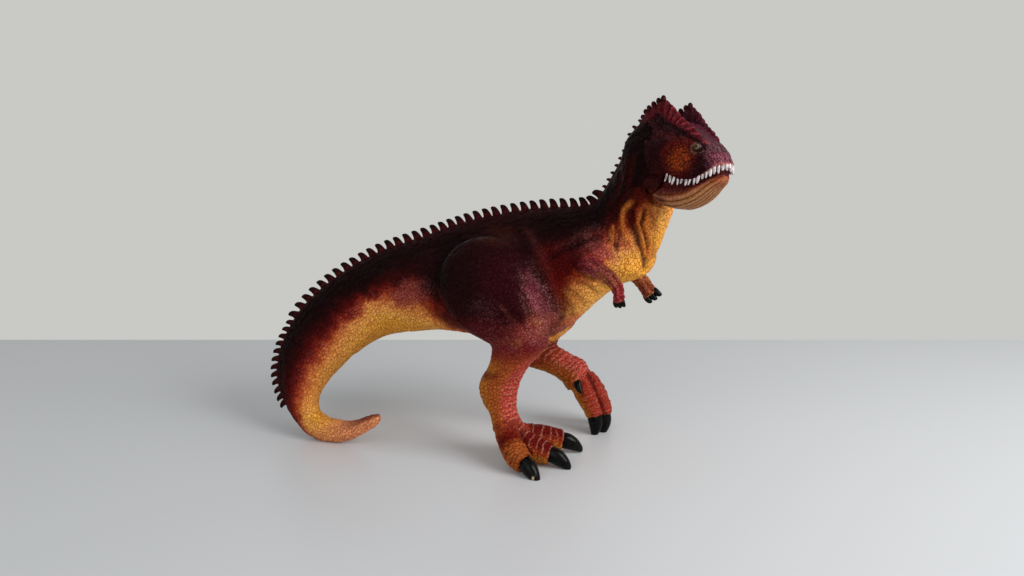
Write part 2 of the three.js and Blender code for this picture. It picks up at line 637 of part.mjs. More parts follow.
// The slot between the cheeks for the jaw's barrel, open below and behind.
function jawSlot() {
  const half = BARREL_WIDTH / 2 + RUNNING_GAP;
  const roof = hingePlace.z + BARREL_DIAMETER / 2 + RUNNING_GAP;
  const front = hingePlace.x + CHEEK_DIAMETER / 2;
  return boxBetween(
    new THREE.Vector3(headRear - OVERRUN, -half, -HEAD_HEIGHT), new THREE.Vector3(front, half, roof));
}

// The lower head's whole outer form, its top raised or lowered from the lip.
function lowerHeadForm(rise, grow = 0) {
  const stations = headStations(jawShares);
  stations.forEach(({ high }) => { high.z += rise; });
  return loftSolid(sampleStations(stations, SKULL_STEPS), fullSection(jawSectionShares), grow);
}

// Everything behind the hinge, which the jaw's shell leaves to the cheeks.
function behindHinge() {
  return boxBetween(
    new THREE.Vector3(hingePlace.x - HEAD_HEIGHT, -HEAD_WIDTH, -HEAD_HEIGHT),
    new THREE.Vector3(hingePlace.x, HEAD_WIDTH, HEAD_HEIGHT));
}

// The skull with its cheeks, crests, eyes and upper teeth.
function headSolid() {
  const skull = loftSolid(
    sampleStations(headStations(skullShares), SKULL_STEPS), fullSection(skullSectionShares));
  const cheeks = lowerHeadForm(HEAD_HEIGHT * cheekRiseShare)
    .intersect(crossBar(CHEEK_DIAMETER, HEAD_WIDTH + HEAD_WIDTH));
  const eye = new THREE.IcosahedronGeometry(EYE_DIAMETER / 2, 1);
  const eyes = [-1, 1].map((sign) => solidFromGeometry(eye, new THREE.Matrix4().makeTranslation(
    HEAD_HEIGHT * eyeShares[0], sign * HEAD_WIDTH * eyeShares[2], HEAD_HEIGHT * eyeShares[1])));
  const behind = boxBetween(
    new THREE.Vector3(headRear - HEAD_HEIGHT, -HEAD_WIDTH, -HEAD_HEIGHT),
    new THREE.Vector3(headRear, HEAD_WIDTH, HEAD_HEIGHT));
  return joined([skull, cheeks, crestSolid(-1), crestSolid(1), ...eyes, ...toothSolids()])
    .subtract(behind)
    .subtract(jawSlot())
    .subtract(tenonSolid(SEAM_GAP))
    .subtract(crossBar(PIN_DIAMETER + SEAM_GAP + SEAM_GAP, PIN_LENGTH + SEAM_GAP + SEAM_GAP));
}

// The lower jaw: its shell ahead of the cheeks, and the barrel between them.
function jawSolid() {
  const cheekCut = crossBar(CHEEK_DIAMETER + RUNNING_GAP + RUNNING_GAP, HEAD_WIDTH + HEAD_WIDTH)
    .subtract(crossBar(CHEEK_DIAMETER + HEAD_HEIGHT, BARREL_WIDTH));
  return lowerHeadForm(-RUNNING_GAP)
    .subtract(cheekCut)
    .subtract(behindHinge())
    .add(crossBar(BARREL_DIAMETER, BARREL_WIDTH))
    .subtract(crossBar(PIN_DIAMETER + RUNNING_GAP + RUNNING_GAP, HEAD_WIDTH));
}

// What the neck leaves free: all that the head fills ahead of its flat rear, and the jaw's sweep.
function headClearance() {
  const floor = hingePlace.z - CHEEK_DIAMETER / 2 - RUNNING_GAP;
  const head = boxBetween(
    new THREE.Vector3(headRear - SEAM_GAP, -HEAD_WIDTH, floor),
    new THREE.Vector3(HEAD_HEIGHT, HEAD_WIDTH, HEAD_HEIGHT + HEAD_HEIGHT));
  const jaw = lowerHeadForm(0, RUNNING_GAP).subtract(behindHinge());
  const sweep = jawTurnShares.map((share) => {
    const turn = new THREE.Matrix4().makeRotationY(THREE.MathUtils.degToRad(MOUTH_OPENING * share));
    turn.premultiply(new THREE.Matrix4().makeTranslation(hingePlace));
    turn.multiply(new THREE.Matrix4().makeTranslation(hingePlace.clone().negate()));
    return jaw.transform(turn.toArray());
  });
  return joined([head, ...sweep]);
}

// Neck, trunk and tail with the fins, and the recesses for the limbs.
function torsoSolid() {
  const stations = sampleStations([
    ...bodyStations(neckShares, NECK_SWING),
    ...bodyStations(trunkShares, NECK_SWING),
    ...bodyStations(tailShares, TAIL_SWING),
  ], TORSO_STEPS);
  const body = loftSolid(stations, fullSection(trunkSectionShares));
  return joined([body, ...spineSolids(stations)])
    .subtract(inHeadPlace(headClearance()))
    .add(inHeadPlace(tenonSolid(0)))
    .subtract(legSolid(rightLegShares, -1, SEAM_GAP))
    .subtract(legSolid(leftLegShares, 1, SEAM_GAP))
    .subtract(armSolid(rightArmShares, -1, SEAM_GAP))
    .subtract(armSolid(leftArmShares, 1, SEAM_GAP))
    .subtract(belowTable());
}

// A solid as a named mesh of its own material.
function meshOf(name, solid, finish) {
  const { numProp, vertProperties, triVerts } = solid.getMesh();
  const geometry = new THREE.BufferGeometry();
  geometry.setAttribute('position', new THREE.BufferAttribute(vertProperties, numProp));
  geometry.setIndex(new THREE.BufferAttribute(triVerts, 1));
  geometry.computeVertexNormals();
  const mesh = new THREE.Mesh(geometry, new THREE.MeshStandardMaterial(finish));
  mesh.name = name;
  return mesh;
}

const skin = { color: 0x7a2418, roughness: 0.5, metalness: 0 };
const shank = { color: 0xb5522f, roughness: 0.5, metalness: 0 };
const jawSkin = { color: 0xb0702f, roughness: 0.55, metalness: 0 };
const steel = { color: 0xb8babd, roughness: 0.35, metalness: 1 };

const head = new THREE.Group();
head.applyMatrix4(headMatrix);
const pin = crossBar(PIN_DIAMETER, PIN_LENGTH);
head.add(meshOf('head', headSolid(), skin));
head.add(meshOf('lower_jaw', jawSolid(), jawSkin));
head.add(meshOf('jaw_pin', pin, steel));

const figure = new THREE.Group();
figure.add(meshOf('torso', torsoSolid(), skin));
figure.add(head);
const rightLeg = legWithFoot(rightLegShares, rightToeShares, rightDewclawShares, -1);
const leftLeg = legWithFoot(leftLegShares, leftToeShares, leftDewclawShares, 1);
figure.add(meshOf('right_leg', rightLeg, shank));
figure.add(meshOf('left_leg', leftLeg, shank));
const rightArm = joined([armSolid(rightArmShares, -1), ...fingerSolids(rightArmShares.fore, -1)]);
const leftArm = joined([armSolid(leftArmShares, 1), ...fingerSolids(leftArmShares.fore, 1)]);
figure.add(meshOf('right_arm', rightArm, skin));
figure.add(meshOf('left_arm', leftArm, skin));

// The middle of the figure's box stands over the origin, and its feet on the table
const box = new THREE.Box3().setFromObject(figure, true);
const middle = box.getCenter(new THREE.Vector3());
figure.position.set(-middle.x, -middle.y, -box.min.z);

export default figure;
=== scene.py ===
"""A painted soft-vinyl figure of a large meat-eating dinosaur on a pale table."""

import json
import logging
import math
from dataclasses import dataclass, field
from enum import Enum
from typing import Iterable, Sequence

import bpy
import bmesh
import numpy as np
from mathutils import Euler, Matrix, Vector, kdtree, noise

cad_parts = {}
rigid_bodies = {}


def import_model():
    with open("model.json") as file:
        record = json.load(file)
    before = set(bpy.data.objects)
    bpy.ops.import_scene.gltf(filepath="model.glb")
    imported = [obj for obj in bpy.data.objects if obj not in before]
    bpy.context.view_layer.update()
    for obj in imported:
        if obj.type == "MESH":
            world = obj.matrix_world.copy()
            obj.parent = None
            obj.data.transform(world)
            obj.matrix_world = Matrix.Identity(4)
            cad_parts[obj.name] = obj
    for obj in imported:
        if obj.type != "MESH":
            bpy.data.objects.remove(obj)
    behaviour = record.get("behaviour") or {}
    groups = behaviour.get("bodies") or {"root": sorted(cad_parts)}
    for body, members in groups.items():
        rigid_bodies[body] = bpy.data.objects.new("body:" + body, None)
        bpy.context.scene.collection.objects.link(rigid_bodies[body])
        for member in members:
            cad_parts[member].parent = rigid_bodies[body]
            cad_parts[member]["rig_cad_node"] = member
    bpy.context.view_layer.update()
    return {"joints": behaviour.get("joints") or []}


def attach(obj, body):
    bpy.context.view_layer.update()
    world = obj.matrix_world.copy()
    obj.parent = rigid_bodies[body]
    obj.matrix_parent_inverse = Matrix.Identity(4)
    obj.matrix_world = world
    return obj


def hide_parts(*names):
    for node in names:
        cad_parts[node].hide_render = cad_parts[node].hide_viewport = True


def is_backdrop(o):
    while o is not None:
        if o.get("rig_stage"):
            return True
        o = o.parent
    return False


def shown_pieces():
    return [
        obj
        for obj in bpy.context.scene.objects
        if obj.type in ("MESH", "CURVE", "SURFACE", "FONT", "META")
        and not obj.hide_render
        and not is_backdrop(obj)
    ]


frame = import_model()

logging.basicConfig(level=logging.INFO, format="%(name)s: %(message)s")
LOG = logging.getLogger("figure")

MM = 0.001
FIGURE_BODY = "figure"
JAW_BODY = "jaw"


class Side(Enum):
    """The two sides of the animal, as the sign of its sideways axis."""

    RIGHT = -1
    LEFT = 1

    def part(self, name: str) -> str:
        """The name of a part on this side."""
        return f"{self.name.lower()}_{name}"


# Shares of the mouldings: each row is one cross-section

TRUNK_SECTION = (
    (0, 1), (0.17, 0.985), (0.36, 0.94), (0.58, 0.85), (0.78, 0.73), (0.92, 0.59),
    (1, 0.44), (0.985, 0.3), (0.88, 0.17), (0.68, 0.08), (0.38, 0.02), (0, 0),
)
SKULL_SECTION = (
    (0, 0.97), (0.3, 0.98), (0.56, 0.97), (0.7, 0.9), (0.79, 0.79), (0.9, 0.65),
    (0.98, 0.5), (1, 0.36), (0.97, 0.2), (0.93, 0.08), (0.88, 0), (0.45, 0), (0, 0),
)
JAW_SECTION = (
    (0, 1), (0.4, 1), (0.72, 1), (0.8, 0.94), (0.83, 0.74), (0.97, 0.52),
    (1, 0.36), (0.9, 0.17), (0.66, 0.05), (0.34, 0), (0, 0),
)
NECK_ROWS = (
    (0.76, 1.605, 0.87, 1.35, 1.24, 0.23), (0.672, 1.605, 0.8, 1.29, 1.06, 0.245),
    (0.602, 1.548, 0.742, 1.19, 0.8, 0.262), (0.567, 1.465, 0.744, 1.12, 0.56, 0.28),
    (0.512, 1.365, 0.724, 1.045, 0.34, 0.292), (0.455, 1.278, 0.7, 0.975, 0.16, 0.316),
    (0.405, 1.225, 0.684, 0.915, 0.04, 0.35),
)
TRUNK_ROWS = (
    (0.335, 1.207, 0.63, 0.878, 0, 0.388), (0.26, 1.202, 0.56, 0.848, 0, 0.42),
    (0.17, 1.195, 0.471, 0.786, 0, 0.44), (0.08, 1.183, 0.389, 0.707, 0, 0.452),
    (-0.01, 1.168, 0.306, 0.626, 0, 0.452), (-0.1, 1.15, 0.21, 0.56, 0, 0.44),
    (-0.2, 1.125, 0.08, 0.515, 0, 0.42), (-0.305, 1.092, -0.085, 0.53, 0, 0.395),
    (-0.41, 1.055, -0.255, 0.55, 0, 0.37),
)
TAIL_ROWS = (
    (-0.505, 1.02, -0.4, 0.548, 0, 0.35), (-0.61, 0.985, -0.52, 0.53, 0.02, 0.33),
    (-0.72, 0.943, -0.61, 0.515, 0.04, 0.315), (-0.825, 0.89, -0.69, 0.492, 0.07, 0.3),
    (-0.92, 0.834, -0.757, 0.462, 0.13, 0.285), (-1.01, 0.768, -0.818, 0.42, 0.2, 0.27),
    (-1.09, 0.695, -0.872, 0.375, 0.28, 0.255), (-1.155, 0.618, -0.918, 0.325, 0.37, 0.24),
    (-1.195, 0.54, -0.963, 0.27, 0.46, 0.225), (-1.228, 0.46, -0.987, 0.226, 0.55, 0.208),
    (-1.242, 0.38, -0.992, 0.192, 0.64, 0.19), (-1.232, 0.3, -0.98, 0.167, 0.74, 0.17),
    (-1.2, 0.22, -0.96, 0.149, 0.82, 0.152), (-1.148, 0.148, -0.932, 0.137, 0.89, 0.14),
    (-1.083, 0.083, -0.9, 0.128, 0.94, 0.126), (-1.01, 0.025, -0.866, 0.122, 0.98, 0.114),
    (-0.92, -0.002, -0.825, 0.12, 1, 0.102), (-0.83, -0.004, -0.778, 0.121, 1, 0.09),
    (-0.735, 0.022, -0.724, 0.128, 1, 0.074), (-0.655, 0.066, -0.67, 0.149, 1, 0.054),
    (-0.59, 0.113, -0.617, 0.173, 1, 0.038), (-0.556, 0.15, -0.57, 0.184, 1, 0.022),
)
RIGHT_LEG_ROWS = (
    (0.0, 1.1, -0.12, 1.085, 0.88, 0.14), (0.12, 1.06, -0.26, 0.98, 0.94, 0.34),
    (0.18, 0.98, -0.29, 0.87, 1, 0.45), (0.22, 0.88, -0.27, 0.765, 1.03, 0.5),
    (0.258, 0.78, -0.2, 0.67, 1.04, 0.5), (0.28, 0.68, -0.095, 0.618, 1.03, 0.47),
    (0.272, 0.6, -0.008, 0.58, 1.01, 0.42), (0.24, 0.545, -0.01, 0.5, 0.99, 0.37),
    (0.19, 0.49, -0.036, 0.438, 0.97, 0.335), (0.145, 0.425, -0.066, 0.388, 0.95, 0.315),
    (0.12, 0.365, -0.074, 0.335, 0.94, 0.31), (0.108, 0.305, -0.052, 0.275, 0.94, 0.3),
    (0.108, 0.25, -0.012, 0.215, 0.95, 0.31), (0.125, 0.2, 0.006, 0.15, 0.96, 0.34),
    (0.16, 0.155, 0.035, 0.09, 0.96, 0.36),
)
LEFT_LEG_ROWS = (
    (0.03, 1.1, -0.09, 1.09, 0.88, 0.14), (0.16, 1.05, -0.22, 0.99, 0.94, 0.34),
    (0.22, 0.97, -0.27, 0.87, 1, 0.45), (0.26, 0.87, -0.26, 0.75, 1.03, 0.5),
    (0.295, 0.78, -0.2, 0.64, 1.03, 0.49), (0.305, 0.695, -0.09, 0.57, 1.02, 0.45),
    (0.275, 0.61, -0.035, 0.5, 1, 0.4), (0.225, 0.535, -0.055, 0.44, 0.97, 0.36),
    (0.17, 0.485, -0.05, 0.375, 0.94, 0.33), (0.16, 0.452, 0.01, 0.325, 0.92, 0.31),
    (0.205, 0.422, 0.08, 0.31, 0.92, 0.3), (0.26, 0.397, 0.15, 0.288, 0.92, 0.3),
    (0.312, 0.375, 0.2, 0.255, 0.92, 0.32), (0.338, 0.325, 0.232, 0.215, 0.92, 0.33),
)
RIGHT_TOE_ROWS = (
    ((0.07, 0.17, 0.15, 0.55, 0.5), (0.115, 0.11, 0.55, 0.54, 0.5), (0.16, 0.07, 0.88, 0.5, 0.48),
     (0.205, 0.052, 1.08, 0.43, 0.42)),
    ((0.06, 0.15, 0, 0.6, 0.52), (0.14, 0.105, 0.03, 0.56, 0.5), (0.22, 0.075, 0.03, 0.5, 0.48),
     (0.29, 0.06, 0.03, 0.43, 0.42)),
    ((0.06, 0.12, -0.3, 0.55, 0.5), (0.14, 0.094, -0.75, 0.55, 0.5), (0.225, 0.078, -1.15, 0.52, 0.48),
     (0.295, 0.066, -1.4, 0.45, 0.44)),
)
LEFT_TOE_ROWS = (
    ((0.3, 0.27, 0.35, 0.5, 0.45), (0.345, 0.2, 0.55, 0.5, 0.44), (0.375, 0.135, 0.68, 0.43, 0.4),
     (0.39, 0.085, 0.75, 0.36, 0.36)),
    ((0.288, 0.28, 0, 0.6, 0.48), (0.344, 0.212, 0, 0.54, 0.46), (0.394, 0.147, 0, 0.5, 0.44),
     (0.412, 0.096, 0, 0.46, 0.44)),
    ((0.29, 0.27, -0.25, 0.5, 0.45), (0.332, 0.205, -0.35, 0.48, 0.44), (0.364, 0.145, -0.4, 0.42, 0.4),
     (0.38, 0.1, -0.42, 0.34, 0.36)),
)
RIGHT_ARM_ROWS = (
    ((0.2, 0.12, 0.3, 0.5, 0.42), (0.06, 0.0, 0.41, 0.58, 0.46), (-0.1, -0.12, 0.48, 0.52, 0.42),
     (-0.2, -0.19, 0.51, 0.42, 0.36)),
    ((-0.22, -0.13, 0.5, 0.34, 0.34), (-0.04, -0.13, 0.53, 0.38, 0.36), (0.13, -0.19, 0.55, 0.36, 0.35),
     (0.25, -0.28, 0.56, 0.33, 0.32), (0.31, -0.39, 0.56, 0.3, 0.3), (0.325, -0.51, 0.56, 0.28, 0.28)),
)
LEFT_ARM_ROWS = (
    ((0.2, 0.12, 0.3, 0.5, 0.42), (0.1, -0.04, 0.4, 0.56, 0.46), (0.02, -0.18, 0.46, 0.5, 0.42),
     (-0.02, -0.26, 0.48, 0.42, 0.36)),
    ((-0.05, -0.24, 0.48, 0.36, 0.34), (0.08, -0.3, 0.48, 0.44, 0.38), (0.22, -0.4, 0.47, 0.42, 0.38),
     (0.355, -0.53, 0.46, 0.38, 0.39), (0.455, -0.655, 0.45, 0.37, 0.44)),
)
SKULL_ROWS = (
    (-0.25, 0.56, 0.22, 0.32), (-0.21, 0.6, 0.15, 0.41),
    (-0.15, 0.615, 0.13, 0.45), (-0.08, 0.635, 0.136, 0.475), (0, 0.642, 0.138, 0.494),
    (0.1, 0.636, 0.136, 0.5), (0.2, 0.61, 0.13, 0.495), (0.3, 0.552, 0.108, 0.47),
    (0.4, 0.476, 0.114, 0.42), (0.475, 0.412, 0.138, 0.375), (0.535, 0.355, 0.176, 0.325),
    (0.585, 0.31, 0.21, 0.262), (0.62, 0.275, 0.222, 0.185), (0.642, 0.25, 0.228, 0.09),
)
JAW_ROWS = (
    (-0.15, 0.13, 0.08, 0.4), (-0.08, 0.136, 0.03, 0.43), (-0.02, 0.138, -0.03, 0.445),
    (0.05, 0.138, -0.09, 0.45), (0.12, 0.134, -0.128, 0.445), (0.22, 0.122, -0.14, 0.42),
    (0.31, 0.108, -0.118, 0.38), (0.4, 0.114, -0.078, 0.325), (0.475, 0.138, -0.03, 0.265),
    (0.535, 0.168, 0.016, 0.21), (0.588, 0.18, 0.046, 0.148), (0.618, 0.168, 0.074, 0.08),
)
CREST_ROWS = (
    (-0.14, 0.645, 0.48, 0.3, 0.42), (-0.1, 0.68, 0.48, 0.318, 0.45), (-0.03, 0.71, 0.48, 0.34, 0.5),
    (0.045, 0.745, 0.48, 0.352, 0.5), (0.115, 0.765, 0.48, 0.355, 0.52), (0.172, 0.73, 0.44, 0.35, 0.56),
    (0.222, 0.675, 0.4, 0.335, 0.6), (0.275, 0.612, 0.36, 0.312, 0.62), (0.34, 0.552, 0.32, 0.28, 0.62),
    (0.41, 0.486, 0.28, 0.25, 0.55), (0.47, 0.412, 0.24, 0.215, 0.36),
)
KNOB_PLACES = (
    (-0.13, 0.65), (-0.095, 0.69), (-0.052, 0.714), (0, 0.738), (0.052, 0.76), (0.098, 0.774),
)
SPINE_ROWS = (
    (0.035, 0.135, 10, 0.45), (0.148, 0.4, 19, 1), (0.415, 0.66, 17, 1.05), (0.674, 0.8, 12, 0.8),
)


# Curves and lofts

def smooth_path(points: Sequence, steps: int) -> np.ndarray:
    """Samples an even-tension curve through a row of points.

    Args:
        points: the points, one per row.
        steps: how many steps to take from the first point to the last.

    Returns:
        steps + 1 points on the curve.
    """
    pts = np.asarray(points, float)
    if pts.ndim == 1:
        pts = pts[:, None]
    padded = np.vstack([2 * pts[0] - pts[1], pts, 2 * pts[-1] - pts[-2]])
    place = np.linspace(0, len(pts) - 1, steps + 1)
    index = np.minimum(place.astype(int), len(pts) - 2)
    weight = (place - index)[:, None]
    p0, p1, p2, p3 = (padded[index + k] for k in range(4))
    gap = [np.maximum(np.linalg.norm(b - a, axis=1, keepdims=True), 1e-12) ** 0.5
           for a, b in ((p0, p1), (p1, p2), (p2, p3))]
    start = ((p1 - p0) / gap[0] - (p2 - p0) / (gap[0] + gap[1]) + (p2 - p1) / gap[1]) * gap[1]
    end = ((p2 - p1) / gap[1] - (p3 - p1) / (gap[1] + gap[2]) + (p3 - p2) / gap[2]) * gap[1]
    cubic = 2 * p1 - 2 * p2 + start + end
    square = -3 * p1 + 3 * p2 - 2 * start - end
    return p1 + start * weight + square * weight ** 2 + cubic * weight ** 3


def lengths_along(line: np.ndarray) -> np.ndarray:
    """How far along a bent line each of its points is, from 0 at the first one."""
    return np.concatenate([[0], np.cumsum(np.linalg.norm(np.diff(line, axis=0), axis=1))])


def read_off(rows: Sequence[Sequence[float]], along: np.ndarray, column: int) -> np.ndarray:
    """Reads a column of a table between its rows.

    Args:
        rows: the table, whose first column rises from row to row.
        along: where in the first column to read.
        column: the number of the column that is read.

    Returns:
        The column's value at each place.
    """
    table = np.array(rows, float)
    return np.interp(along, table[:, 0], table[:, column])


def closed_section(half: Sequence, count: int) -> np.ndarray:
    """Turns half a section into a smooth closed one.

    Args:
        half: the half section's points from its top round to its bottom, as sideways and height.
        count: how many points to make.

    Returns:
        The closed section's points, evenly spaced, as sideways and height.
    """
    half = list(half)
    loop = half + [(-side, rise) for side, rise in reversed(half[1:-1])]
    extended = loop[-3:] + loop + loop[:4]
    dense = smooth_path(extended, (len(extended) - 1) * 16)[3 * 16:-3 * 16]
    length = lengths_along(dense)
    wanted = np.linspace(0, length[-1], count, endpoint=False)
    return np.column_stack([np.interp(wanted, length, dense[:, k]) for k in range(2)])


def spot_on(line: np.ndarray, length: np.ndarray, distance: float) -> tuple[int, np.ndarray]:
    """Finds the sample of a line at a distance along it.

    Args:
        line: the line's samples.
        length: how far along the line each sample is.
        distance: how far along to look.

    Returns:
        The sample's number and the way on there.
    """
    last = len(line) - 1
    i = min(int(np.searchsorted(length, distance)), last)
    return i, unit(line[min(i + 1, last)] - line[max(i - 1, 0)])


def round_section(count: int) -> np.ndarray:
    """A round section of so many points, as [sideways, height]."""
    angle = np.linspace(0, 2 * math.pi, count, endpoint=False)
    return np.column_stack([np.sin(angle), (1 + np.cos(angle)) / 2])


def unit(vectors: np.ndarray) -> np.ndarray:
    """Each row at length one."""
    return vectors / np.maximum(np.linalg.norm(vectors, axis=-1, keepdims=True), 1e-12)


@dataclass
class Loft:
    """A row of cross-sections: the highest and lowest point of each and half its width."""

    high: np.ndarray
    low: np.ndarray
    half: np.ndarray

    def sampled(self, steps: int) -> "Loft":
        """The same loft with so many steps along it."""
        return Loft(smooth_path(self.high, steps), smooth_path(self.low, steps),
                    smooth_path(self.half, steps)[:, 0])

    def axes(self) -> tuple[np.ndarray, np.ndarray, np.ndarray]:
        """The way on, the way up and the way sideways at each cross-section."""
        middle = (self.high + self.low) / 2
        padded = np.vstack([middle[0], middle, middle[-1]])
        onward = unit(padded[2:] - padded[:-2])
        upward = unit(self.high - self.low)
        return onward, upward, unit(np.cross(upward, onward))

    def rings(self, section: np.ndarray, grow: float = 0.0) -> np.ndarray:
        """The points of each cross-section, moved outwards all round by grow.

        Args:
            section: the points of one cross-section, as sideways and height.
            grow: how far the points are moved outwards.

        Returns:
            The points, by cross-section and by place round it.
        """
        onward, upward, sideways = self.axes()
        bottom = self.low - upward * grow
        height = self.high + upward * grow - bottom
        rings = (bottom[:, None] + height[:, None] * section[None, :, 1:2]
                 + sideways[:, None] * (self.half + grow)[:, None, None] * section[None, :, 0:1])
        rings[0] -= onward[0] * grow
        rings[-1] += onward[-1] * grow
        return rings

    def surface(self, section: np.ndarray) -> np.ndarray:
        """The points of all cross-sections, one after another."""
        return self.rings(section).reshape(-1, 3)


def path_loft(places: np.ndarray, sizes: np.ndarray, steps: int) -> Loft:
    """A loft round a path of places, each with half a height and half a width across the path.

    Args:
        places: the places that the path goes through.
        sizes: half the height and half the width at each place.
        steps: how many steps to take along the path.

    Returns:
        The loft.
    """
    along = smooth_path(places, steps)
    size = smooth_path(sizes, steps)
    padded = np.vstack([2 * along[0] - along[1], along, 2 * along[-1] - along[-2]])
    onward = unit(padded[2:] - padded[:-2])
    up = np.array([0.0, 0.0, 1.0])
    upward = unit(up - onward * (onward @ up)[:, None])
    return Loft(along + upward * size[:, :1], along - upward * size[:, :1], size[:, 1])


# Meshes

def object_of(name: str, points: np.ndarray, faces: Iterable[Sequence[int]]) -> bpy.types.Object:
    """A new object of these points and faces, at the origin.

    Args:
        name: the object's name.
        points: the places of its points.
        faces: for each face the numbers of its points.

    Returns:
        The new object.
    """
    mesh = bpy.data.meshes.new(name)
    mesh.from_pydata([tuple(p) for p in points], [], [tuple(f) for f in faces])
    mesh.update()
    obj = bpy.data.objects.new(name, mesh)
    bpy.context.scene.collection.objects.link(obj)
    return obj


def loft_object(name: str, rings: np.ndarray) -> bpy.types.Object:
    """Makes a closed skin through rings of points.

    Args:
        name: the object's name.
        rings: the points, by ring and by place round it.

    Returns:
        The new object, with its faces turned outwards.
    """
    count, sides = rings.shape[:2]
    points = np.vstack([rings.reshape(-1, 3), rings[0].mean(0), rings[-1].mean(0)])
    start, end, last = count * sides, count * sides + 1, (count - 1) * sides
    faces = []
    for row in range(0, last, sides):
        for s in range(sides):
            following = (s + 1) % sides
            faces.append((row + s, row + following, row + sides + following, row + sides + s))
    faces += [(start, (s + 1) % sides, s) for s in range(sides)]
    faces += [(end, last + s, last + (s + 1) % sides) for s in range(sides)]
    obj = object_of(name, points, faces)
    bm = bmesh.new()
    bm.from_mesh(obj.data)
    bmesh.ops.recalc_face_normals(bm, faces=bm.faces)
    bm.to_mesh(obj.data)
    bm.free()
    return obj


def select_only(*objects: bpy.types.Object) -> None:
    """Selects just these objects and makes the first one active."""
    bpy.ops.object.select_all(action="DESELECT")
    for obj in objects:
        obj.select_set(True)
    bpy.context.view_layer.objects.active = objects[0]


def joined(name: str, objects: Sequence[bpy.types.Object]) -> bpy.types.Object:
    """Joins objects into one under a new name.

    Args:
        name: the new name of the object and its mesh.
        objects: the objects, which are used up.

    Returns:
        The joined object.
    """
    select_only(*objects)
    if len(objects) > 1:
        bpy.ops.object.join()
    obj = bpy.context.view_layer.objects.active
    obj.name = obj.data.name = name
    return obj


def modified(obj: bpy.types.Object, kind: str, **settings: object) -> bpy.types.Object:
    """Adds a modifier with these settings to an object and applies it.

    Args:
        obj: the object.
        kind: the modifier's type.
        settings: the modifier's own properties.

    Returns:
        The same object.
    """
    select_only(obj)
    modifier = obj.modifiers.new(kind.title(), kind)
    for key, value in settings.items():
        setattr(modifier, key, value)
    bpy.ops.object.modifier_apply(modifier=modifier.name)
    return obj


def grown_together(obj: bpy.types.Object, voxel: float, passes: int = 0) -> bpy.types.Object:
    """Turns the overlapping forms of an object into one skin.

    Args:
        obj: the object.
        voxel: the size of the grid that the skin is drawn on.
        passes: how often the skin is smoothed after that.

    Returns:
        The same object.
    """
    modified(obj, "REMESH", mode="VOXEL", voxel_size=voxel, adaptivity=0.0)
    if passes:
        modified(obj, "SMOOTH", factor=0.5, iterations=passes)
    return obj


def vectors_in(layer: bpy.types.bpy_prop_collection, key: str) -> np.ndarray:
    """The vectors that a mesh's layer holds under a key, one per row."""
    out = np.empty(len(layer) * 3, np.float32)
    layer.foreach_get(key, out)
    return out.reshape(-1, 3).astype(float)


def points_of(obj: bpy.types.Object) -> np.ndarray:
    """An object's points."""
    return vectors_in(obj.data.vertices, "co")


def normals_of(obj: bpy.types.Object) -> np.ndarray:
    """The way out of the surface at each of an object's points."""
    return vectors_in(obj.data.vertex_normals, "vector")


def move_points(obj: bpy.types.Object, points: np.ndarray) -> None:
    """Puts an object's points at new places."""
    obj.data.vertices.foreach_set("co", points.astype(np.float32).ravel())
    obj.data.update()


def raise_surface(obj: bpy.types.Object, height: np.ndarray) -> None:
    """Moves each point outwards along its normal by a height."""
    move_points(obj, points_of(obj) + normals_of(obj) * height[:, None])


def set_on_table(obj: bpy.types.Object) -> None:
    """Lifts the points that lie below the table up to it."""
    points = points_of(obj)
    points[:, 2] = np.maximum(points[:, 2], 0)
    move_points(obj, points)


def keep_places(obj: bpy.types.Object, places: np.ndarray) -> None:
    """Stores a place for each of an object's points, which stays with it as the mesh is cut and split."""
    layer = obj.data.attributes.new("Place", "FLOAT_VECTOR", "POINT")
    layer.data.foreach_set("vector", places.astype(np.float32).ravel())


def kept_places(obj: bpy.types.Object) -> np.ndarray:
    """Takes the stored places of an object's points off it.

    Args:
        obj: the object, which has no stored places any more after this.

    Returns:
        The places, or where a point has none, the point itself.
    """
    layer = obj.data.attributes["Place"]
    places = vectors_in(layer.data, "vector")
    obj.data.attributes.remove(layer)
    return np.where(np.any(places != 0, axis=1, keepdims=True), places, points_of(obj))


def nearest_of(samples: np.ndarray, points: np.ndarray) -> tuple[np.ndarray, np.ndarray]:
    """Finds the nearest sample to each point.

    Args:
        samples: the samples.
        points: the points.

    Returns:
        For each point the number of the nearest sample, and its distance.
    """
    tree = kdtree.KDTree(len(samples))
    for i, sample in enumerate(samples):
        tree.insert(sample, i)
    tree.balance()
    found = [tree.find(p)[1:] for p in points]
    return np.array([f[0] for f in found]), np.array([f[1] for f in found])


def share_between(points: np.ndarray, low: np.ndarray, high: np.ndarray) -> np.ndarray:
    """How far each point is on its own way from low to high, from 0 to 1."""
    rise = high - low
    return np.einsum("ij,ij->i", points - low, rise) / np.einsum("ij,ij->i", rise, rise)


def ramp(value: np.ndarray, low: float, high: float) -> np.ndarray:
    """A smooth step from 0 at low to 1 at high."""
    share = np.clip((value - low) / (high - low), 0, 1)
    return share * share * (3 - 2 * share)


def bell(value: np.ndarray, width: float) -> np.ndarray:
    """A smooth bump of 1 at zero that fades over a width."""
    return np.exp(-(value / width) ** 2)


def cloud(points: np.ndarray, size: float, seed: float = 0.0, octaves: int = 3) -> np.ndarray:
    """Smooth seeded noise of about -1 to 1, with lumps of a size."""
    shift = Vector((seed * 7.1, seed * 3.7, seed * 5.3))
    return np.array([noise.fractal(Vector(p) / size + shift, 0.9, 2.0, octaves) for p in points])


